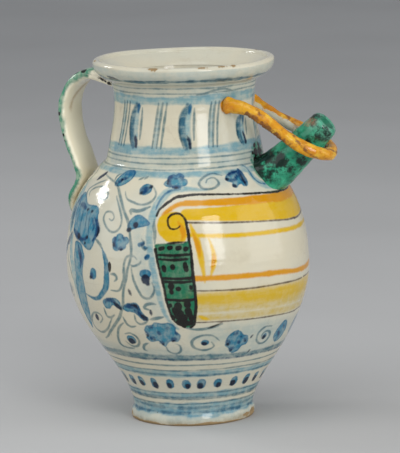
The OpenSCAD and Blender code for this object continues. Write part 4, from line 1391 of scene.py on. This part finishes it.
class Nodes:
    """A material's node tree, built from the shader back to the coordinates."""

    def __init__(self, name):
        self.material = bpy.data.materials.new(name)
        self.material.use_nodes = True
        self.tree = self.material.node_tree
        self.tree.nodes.clear()
        self.place = self.add("ShaderNodeTexCoord").outputs["Object"]

    def add(self, kind, inputs=None, **settings):
        """A node with its settings, and with links or plain values on its inputs."""
        node = self.tree.nodes.new(kind)
        for key, value in settings.items():
            setattr(node, key, value)
        for key, value in (inputs or {}).items():
            if isinstance(value, bpy.types.NodeSocket):
                self.tree.links.new(value, node.inputs[key])
            else:
                node.inputs[key].default_value = value
        return node

    def times(self, a, b):
        return self.add("ShaderNodeMath", {0: a, 1: b}, operation="MULTIPLY").outputs[0]

    def plus(self, a, b):
        return self.add("ShaderNodeMath", {0: a, 1: b}, operation="ADD").outputs[0]

    def noise(self, per_metre, detail=3.0, roughness=0.55, stretch=None):
        """Cloudy noise from 0 to 1, with a number of clouds to the metre, or one for each axis."""
        place = self.place
        if stretch:
            place = self.add("ShaderNodeMapping", {"Vector": place, "Scale": stretch}).outputs[0]
        inputs = {"Vector": place, "Scale": per_metre, "Detail": detail, "Roughness": roughness}
        return self.add("ShaderNodeTexNoise", inputs).outputs["Fac"]

    def step(self, value, low, high, bottom=0.0, top=1.0):
        """A soft step of a value from bottom, at low, to top, at high."""
        inputs = {"Value": value, "From Min": low, "From Max": high, "To Min": bottom, "To Max": top}
        return self.add("ShaderNodeMapRange", inputs, interpolation_type="SMOOTHSTEP").outputs[0]

    def mix(self, factor, a, b, blend="MIX"):
        node = self.add("ShaderNodeMix", {0: factor, 6: a, 7: b}, data_type="RGBA", blend_type=blend)
        return node.outputs[2]

    def attribute(self, name):
        return self.add("ShaderNodeAttribute", attribute_name=name).outputs["Fac"]

    def finish(self, colour, roughness, height, bump_mm):
        """The shader with a bump of some depth, and the finished material."""
        bump = self.add("ShaderNodeBump", {"Height": height, "Distance": bump_mm * MM, "Strength": 1.0})
        shader = self.add("ShaderNodeBsdfPrincipled", {
            "Base Color": colour, "Roughness": roughness, "Normal": bump.outputs[0], "IOR": GLAZE_IOR,
        })
        self.add("ShaderNodeOutputMaterial", {"Surface": shader.outputs[0]})
        return self.material


def rgb(r, g, b):
    return (r, g, b, 1.0)


GLAZE_IOR = 1.43
# Tin glaze, a paler cream that lightens the strap as painted light, the clay under it, its crazing and its
# specks
CREAM_WARM = rgb(0.66, 0.605, 0.455)
CREAM_COOL = rgb(0.59, 0.58, 0.475)
CREAM_DULL = rgb(0.53, 0.47, 0.34)
PAINTED_LIGHT_CREAM = rgb(0.95, 0.88, 0.68)
CLAY = rgb(0.22, 0.145, 0.065)
CLAY_PALE = rgb(0.43, 0.30, 0.15)
CRAZED = rgb(0.40, 0.33, 0.24)
IRON = rgb(0.16, 0.09, 0.05)
# Copper green, thin and thick, pale at the spout's tip and pooled, and the clay that shows through it
GREEN_THIN = rgb(0.065, 0.49, 0.285)
GREEN_THICK = rgb(0.013, 0.23, 0.127)
GREEN_PALE = rgb(0.17, 0.36, 0.27)
GREEN_POOLED = rgb(0.006, 0.018, 0.013)
RUST = rgb(0.24, 0.12, 0.06)
RUST_PALE = rgb(0.42, 0.27, 0.16)
# Yellow ochre, thin and thick, its burnt and bright flecks, and the brown of torn edges
OCHRE_THIN = rgb(0.74, 0.37, 0.018)
OCHRE_THICK = rgb(0.60, 0.22, 0.008)
OCHRE_BURNT = rgb(0.38, 0.14, 0.01)
OCHRE_BRIGHT = rgb(0.80, 0.50, 0.05)
OCHRE_TORN = rgb(0.19, 0.065, 0.018)

# Pigments: how they mix with what lies below, their colour at full strength, how soft and how ragged their
# edge is in millimetres, how thin and how thick their coat gets, and how much it pools at its edge
PIGMENTS = {
    # The haze: a bluish-grey wash, which on the rim's outer face also stands for painted shade under the lip
    "haze_and_shade": ("MULTIPLY", rgb(0.68, 0.81, 0.92), 5.0, 2.0, 0.5, 1.0, 0.0),
    "wash": ("MULTIPLY", rgb(0.35, 0.64, 0.87), 0.9, 0.5, 0.55, 1.0, 0.15),
    "band": ("MULTIPLY", rgb(0.14, 0.33, 0.47), 0.9, 0.6, 0.55, 1.0, 0.25),
    "line": ("MULTIPLY", rgb(0.22, 0.36, 0.46), 0.45, 0.25, 0.70, 1.0, 0.0),
    "blue": ("MULTIPLY", rgb(0.055, 0.36, 0.66), 0.5, 0.5, 0.68, 1.0, 0.55),
    "deep": ("MULTIPLY", rgb(0.07, 0.20, 0.42), 0.8, 0.9, 0.70, 1.0, 0.0),
    "dark": ("MULTIPLY", rgb(0.006, 0.03, 0.10), 0.6, 0.6, 0.92, 1.0, 0.0),
    "straw": ("MIX", rgb(0.56, 0.41, 0.09), 1.6, 0.8, 0.50, 0.90, 0.0),
    "khaki": ("MIX", rgb(0.61, 0.40, 0.02), 2.4, 0.9, 0.75, 0.97, 0.0),
    "yellow": ("MIX", rgb(0.66, 0.41, 0.003), 0.7, 0.4, 0.95, 1.0, 0.0),
    "orange": ("MIX", rgb(0.62, 0.27, 0.0), 0.7, 0.4, 0.97, 1.0, 0.0),
    # Brownish darkening: darker along the foot's bottom edge, and painted shade along the strap's crease
    "stain_and_shade": ("MULTIPLY", rgb(0.60, 0.46, 0.30), 2.8, 1.4, 0.6, 1.0, 0.0),
    "copper": ("MIX", rgb(0.045, 0.26, 0.155), 1.3, 1.2, 0.66, 1.0, 0.25),
    "green": ("MIX", rgb(0.008, 0.15, 0.072), 0.6, 0.6, 0.86, 1.0, 0.35),
    "brown": ("MULTIPLY", rgb(0.09, 0.06, 0.05), 0.4, 0.2, 0.80, 1.0, 0.0),
    "black": ("MIX", rgb(0.008, 0.006, 0.006), 0.35, 0.4, 0.95, 1.0, 0.0),
}
# Pigments that were mostly laid level, and streak so
LEVEL_LAID = ("haze_and_shade", "wash", "band", "line", "straw", "khaki", "yellow", "orange")
POOLED = rgb(0.30, 0.45, 0.60)
# How far from its tip the spout's green turns pale
PALE_TIP = 16


def cream_base(n):
    """Tin glaze: milky, warmer and cooler in clouds, with fine crazing and specks of iron."""
    base = n.mix(n.step(n.noise(14, 4), 0.35, 0.68), CREAM_WARM, CREAM_COOL)
    base = n.mix(n.step(n.noise(60, 5, 0.65), 0.50, 0.80, 0.0, 0.55), base, CREAM_DULL)
    cells = n.add("ShaderNodeTexVoronoi", {"Vector": n.place, "Scale": 170.0}, feature="DISTANCE_TO_EDGE")
    cracks = n.step(cells.outputs[0], 0.006, 0.03, 1.0, 0.0)
    crazing = n.times(cracks, n.step(n.noise(25, 2), 0.48, 0.62, 0.0, 0.22))
    base = n.mix(crazing, base, CRAZED)
    specks = n.add("ShaderNodeTexVoronoi", {"Vector": n.place, "Scale": 130.0})
    rare = n.step(specks.outputs["Color"], 0.78, 0.80)
    dots = n.times(n.step(specks.outputs["Distance"], 0.03, 0.07, 0.75, 0.0), rare)
    return n.mix(dots, base, IRON), crazing


def tin_glaze(name, pigments, painted_light=0.0):
    """Painted tin glaze: each pigment stains the cream where its strokes lie, uneven along the brush."""
    n = Nodes(name)
    colour, crazing = cream_base(n)
    # Painted light: the cream is lightened towards a paler cream, by the share given
    colour = n.mix(painted_light, colour, PAINTED_LIGHT_CREAM)
    ragged = n.plus(n.noise(420, 3, 0.6), -0.5)
    clouds = n.times(n.noise(190, 4, 0.6), 0.6)
    level = n.plus(clouds, n.times(n.noise(1.0, 3, 0.55, stretch=(60, 60, 420)), 0.4))
    upright = n.plus(clouds, n.times(n.noise(1.0, 3, 0.55, stretch=(330, 330, 70)), 0.4))
    for key in pigments:
        blend, tint, soft, rough_edge, thin, thick, pool = PIGMENTS[key]
        edge = n.plus(n.attribute(key), n.times(ragged, rough_edge * 2))
        flow = n.step(level if key in LEVEL_LAID else upright, 0.38, 0.60, thin, thick)
        mask = n.times(n.step(edge, -soft, soft, 1.0, 0.0), flow)
        colour = n.mix(mask, colour, tint, blend)
        if pool:
            gathered = n.times(n.step(edge, -1.7, -0.5, 0.0, pool), mask)
            colour = n.mix(gathered, colour, POOLED, "MULTIPLY")
    roughness = n.step(n.noise(90, 3), 0.3, 0.75, 0.06, 0.14)
    height = n.plus(n.times(n.noise(260, 2), 0.5), n.noise(55, 2))
    height = n.plus(height, n.times(crazing, -0.4))
    worn = n.step(n.plus(n.attribute("bare"), n.times(ragged, 1.2)), -0.25, 0.25, 1.0, 0.0)
    colour = n.mix(worn, colour, n.mix(n.noise(300, 5, 0.7), CLAY, CLAY_PALE))
    roughness = n.plus(roughness, n.times(worn, 0.6))
    height = n.plus(height, n.times(n.times(n.noise(900, 4), worn), 2.0))
    return n.finish(colour, roughness, height, bump_mm=0.10)


def copper_glaze(name):
    """Copper green over cream: clear green that breaks to grey where thin and pools almost black."""
    n = Nodes(name)
    cream = cream_base(n)[0]
    green = n.mix(n.step(n.noise(75, 4, 0.6), 0.32, 0.60), GREEN_THIN, GREEN_THICK)
    colour = n.mix(n.step(n.noise(48, 3, 0.5), 0.60, 0.72, 1.0, 0.40), cream, green)
    tip = n.step(n.attribute("along"), SPOUT_LEN - PALE_TIP, SPOUT_LEN)
    colour = n.mix(n.times(tip, n.step(n.noise(130, 4), 0.35, 0.65, 0.25, 0.75)), colour, GREEN_PALE)
    dense = n.step(n.attribute("black"), -5.0, 5.0, 0.30, 0.0)
    pools = n.step(n.plus(n.noise(190, 5, 0.7), dense), 0.50, 0.74, 0.0, 0.98)
    colour = n.mix(pools, colour, GREEN_POOLED)
    ragged = n.plus(n.noise(500, 4, 0.65), -0.5)
    worn = n.step(n.plus(n.attribute("bare"), n.times(ragged, 7.0)), -2.2, 1.6, 0.75, 0.0)
    colour = n.mix(worn, colour, n.mix(n.noise(400, 4), RUST, RUST_PALE))
    colour = n.mix(n.step(n.attribute("white"), -0.5, 0.5, 1.0, 0.0), colour, cream)
    roughness = n.plus(n.step(n.noise(140, 3), 0.3, 0.75, 0.06, 0.15), n.times(worn, 0.35))
    height = n.plus(n.noise(160, 3), n.times(n.noise(45, 2), 1.2))
    return n.finish(colour, roughness, height, bump_mm=0.16)


def ochre_glaze(name):
    """Yellow ochre, deeper where thick, brown along torn edges and thin to cream where the brush missed."""
    n = Nodes(name)
    cream = cream_base(n)[0]
    ochre = n.mix(n.step(n.noise(70, 4, 0.6), 0.34, 0.66), OCHRE_THIN, OCHRE_THICK)
    ochre = n.mix(n.step(n.noise(230, 5, 0.7), 0.52, 0.72, 0.0, 0.8), ochre, OCHRE_BURNT)
    ochre = n.mix(n.step(n.noise(120, 4, 0.65), 0.50, 0.66, 0.0, 0.75), ochre, OCHRE_BRIGHT)
    ragged = n.plus(n.noise(260, 4, 0.65), -0.5)
    missed = n.step(n.plus(n.attribute("white"), n.times(ragged, 7.0)), -0.7, 0.7, 0.95, 0.0)
    colour = n.mix(missed, ochre, cream)
    browned = n.step(n.plus(n.attribute("brown"), n.times(ragged, 8.0)), -1.0, 1.0, 0.9, 0.0)
    colour = n.mix(browned, colour, OCHRE_TORN)
    roughness = n.plus(n.step(n.noise(120, 3), 0.3, 0.75, 0.06, 0.15), n.times(browned, 0.2))
    height = n.plus(n.noise(190, 3), n.times(n.times(n.noise(600, 3), browned), 1.5))
    return n.finish(colour, roughness, height, bump_mm=0.30)


def dress(piece, node, material):
    """Puts a piece in the place of its solid, with its finish."""
    piece.data.materials.append(material)
    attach(piece, "root")
    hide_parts(node)


body_glaze = tin_glaze("painted_tin_glaze", BODY_FIELDS[:-1])
# The strap's cream is lightened almost fully to the paler cream, as painted light on its shaded inner face
strap_glaze = tin_glaze("strap_tin_glaze", ("stain_and_shade", "copper", "black"), painted_light=0.95)
spout_glaze = copper_glaze("copper_green")
tie_glaze = ochre_glaze("yellow_ochre")
for node, piece in build_body().items():
    dress(piece, node, body_glaze)
dress(build_handle(), "handle", strap_glaze)
dress(build_spout(), "spout", spout_glaze)
dress(build_tie(), "spout_tie", tie_glaze)
dress(build_pad("front_root", True), "tie_front_pad", tie_glaze)
dress(build_pad("rear_root", False), "tie_rear_pad", tie_glaze)


# Stage, light and camera, in metres

CAMERA_TURN = math.radians(22)
CAMERA_AWAY = 2.5066
CAMERA_HEIGHT = 0.544
CAMERA_ROLL = math.radians(-1.493)
CAMERA_SEES = 20
AIM_SIDE = 0.0082
AIM_HEIGHT = 0.1262
FOCAL_PIXELS = 3834.5
PICTURE_HEIGHT = 453
SENSOR = 36.0
STAGE_HALF = 6.0
PAPER_DARK = rgb(0.49, 0.49, 0.485)
PAPER_PALE = rgb(0.52, 0.52, 0.515)
ROOM_COLOUR = rgb(0.92, 0.95, 1.0)
ROOM_LIGHT = 0.36
# The lamps face the jug at this height
LAMP_AIM = Vector((0, 0, 0.12))
# Name, degrees to the right of the camera and above the table, distance, width, height and power
LAMPS = (
    ("window_right", 27, 18, 1.7, 0.5, 1.05, 11.5),
    ("strip_left", -117, 28, 1.5, 0.42, 0.24, 4.2),
    ("front_soft", 14, 22, 2.3, 1.8, 1.8, 1.8),
    ("left_soft", -66, 22, 2.2, 2.0, 2.0, 12.5),
    ("top_soft", -10, 66, 1.9, 1.6, 1.6, 11),
    ("right_soft", 80, 15, 2.2, 1.6, 1.6, 10),
)

to_right = Vector((math.cos(CAMERA_TURN), math.sin(CAMERA_TURN), 0))
to_camera = Vector((math.sin(CAMERA_TURN), -math.cos(CAMERA_TURN), 0))


def add_camera():
    """The camera of the photo, far off with a long lens, rolled so that the jug leans a little left."""
    data = bpy.data.cameras.new("camera")
    data.sensor_width = SENSOR
    data.lens = FOCAL_PIXELS * SENSOR / PICTURE_HEIGHT
    data.clip_end = CAMERA_SEES
    camera = bpy.data.objects.new("camera", data)
    place = to_camera * CAMERA_AWAY + Vector((0, 0, CAMERA_HEIGHT))
    aim = to_right * AIM_SIDE + Vector((0, 0, AIM_HEIGHT))
    forward = (aim - place).normalized()
    right = forward.cross(Vector((0, 0, 1))).normalized()
    up = right.cross(forward)
    c = math.cos(CAMERA_ROLL)
    s = math.sin(CAMERA_ROLL)
    axes = Matrix((right * c + up * s, up * c - right * s, -forward)).transposed()
    camera.matrix_world = Matrix.Translation(place) @ axes.to_4x4()
    bpy.context.scene.collection.objects.link(camera)
    bpy.context.scene.camera = camera


def add_light(name, turn, rise, away, width, height, power):
    """A soft box that faces the jug, from an angle to the right of the camera and above the table."""
    data = bpy.data.lights.new(name, "AREA")
    data.shape = "RECTANGLE"
    data.size = width
    data.size_y = height
    data.energy = power
    light = bpy.data.objects.new(name, data)
    turn = math.radians(turn)
    rise = math.radians(rise)
    level = to_camera * math.cos(turn) + to_right * math.sin(turn)
    towards = level * math.cos(rise) + Vector((0, 0, math.sin(rise)))
    light.location = towards * away + LAMP_AIM
    light.rotation_euler = towards.to_track_quat("Z", "Y").to_euler()
    light.visible_camera = False
    bpy.context.scene.collection.objects.link(light)


def add_stage():
    """A pale floor, wide enough to fill the picture."""
    mesh = bpy.data.meshes.new("stage")
    corners = [(x * STAGE_HALF, y * STAGE_HALF, 0) for x, y in ((-1, -1), (1, -1), (1, 1), (-1, 1))]
    mesh.from_pydata(corners, [], [(0, 1, 2, 3)])
    stage = bpy.data.objects.new("stage", mesh)
    bpy.context.scene.collection.objects.link(stage)
    n = Nodes("stage_paper")
    paper = n.mix(n.step(n.noise(3, 2), 0.3, 0.7), PAPER_DARK, PAPER_PALE)
    stage.data.materials.append(n.finish(paper, 0.8, n.noise(400, 2), bump_mm=0.02))


def add_world():
    """The even light of the room."""
    world = bpy.data.worlds.new("studio")
    world.use_nodes = True
    background = world.node_tree.nodes["Background"]
    background.inputs["Color"].default_value = ROOM_COLOUR
    background.inputs["Strength"].default_value = ROOM_LIGHT
    bpy.context.scene.world = world


add_camera()
add_stage()
add_world()
for lamp in LAMPS:
    add_light(*lamp)
bpy.context.scene.view_settings.view_transform = "Standard"

bpy.context.view_layer.update()
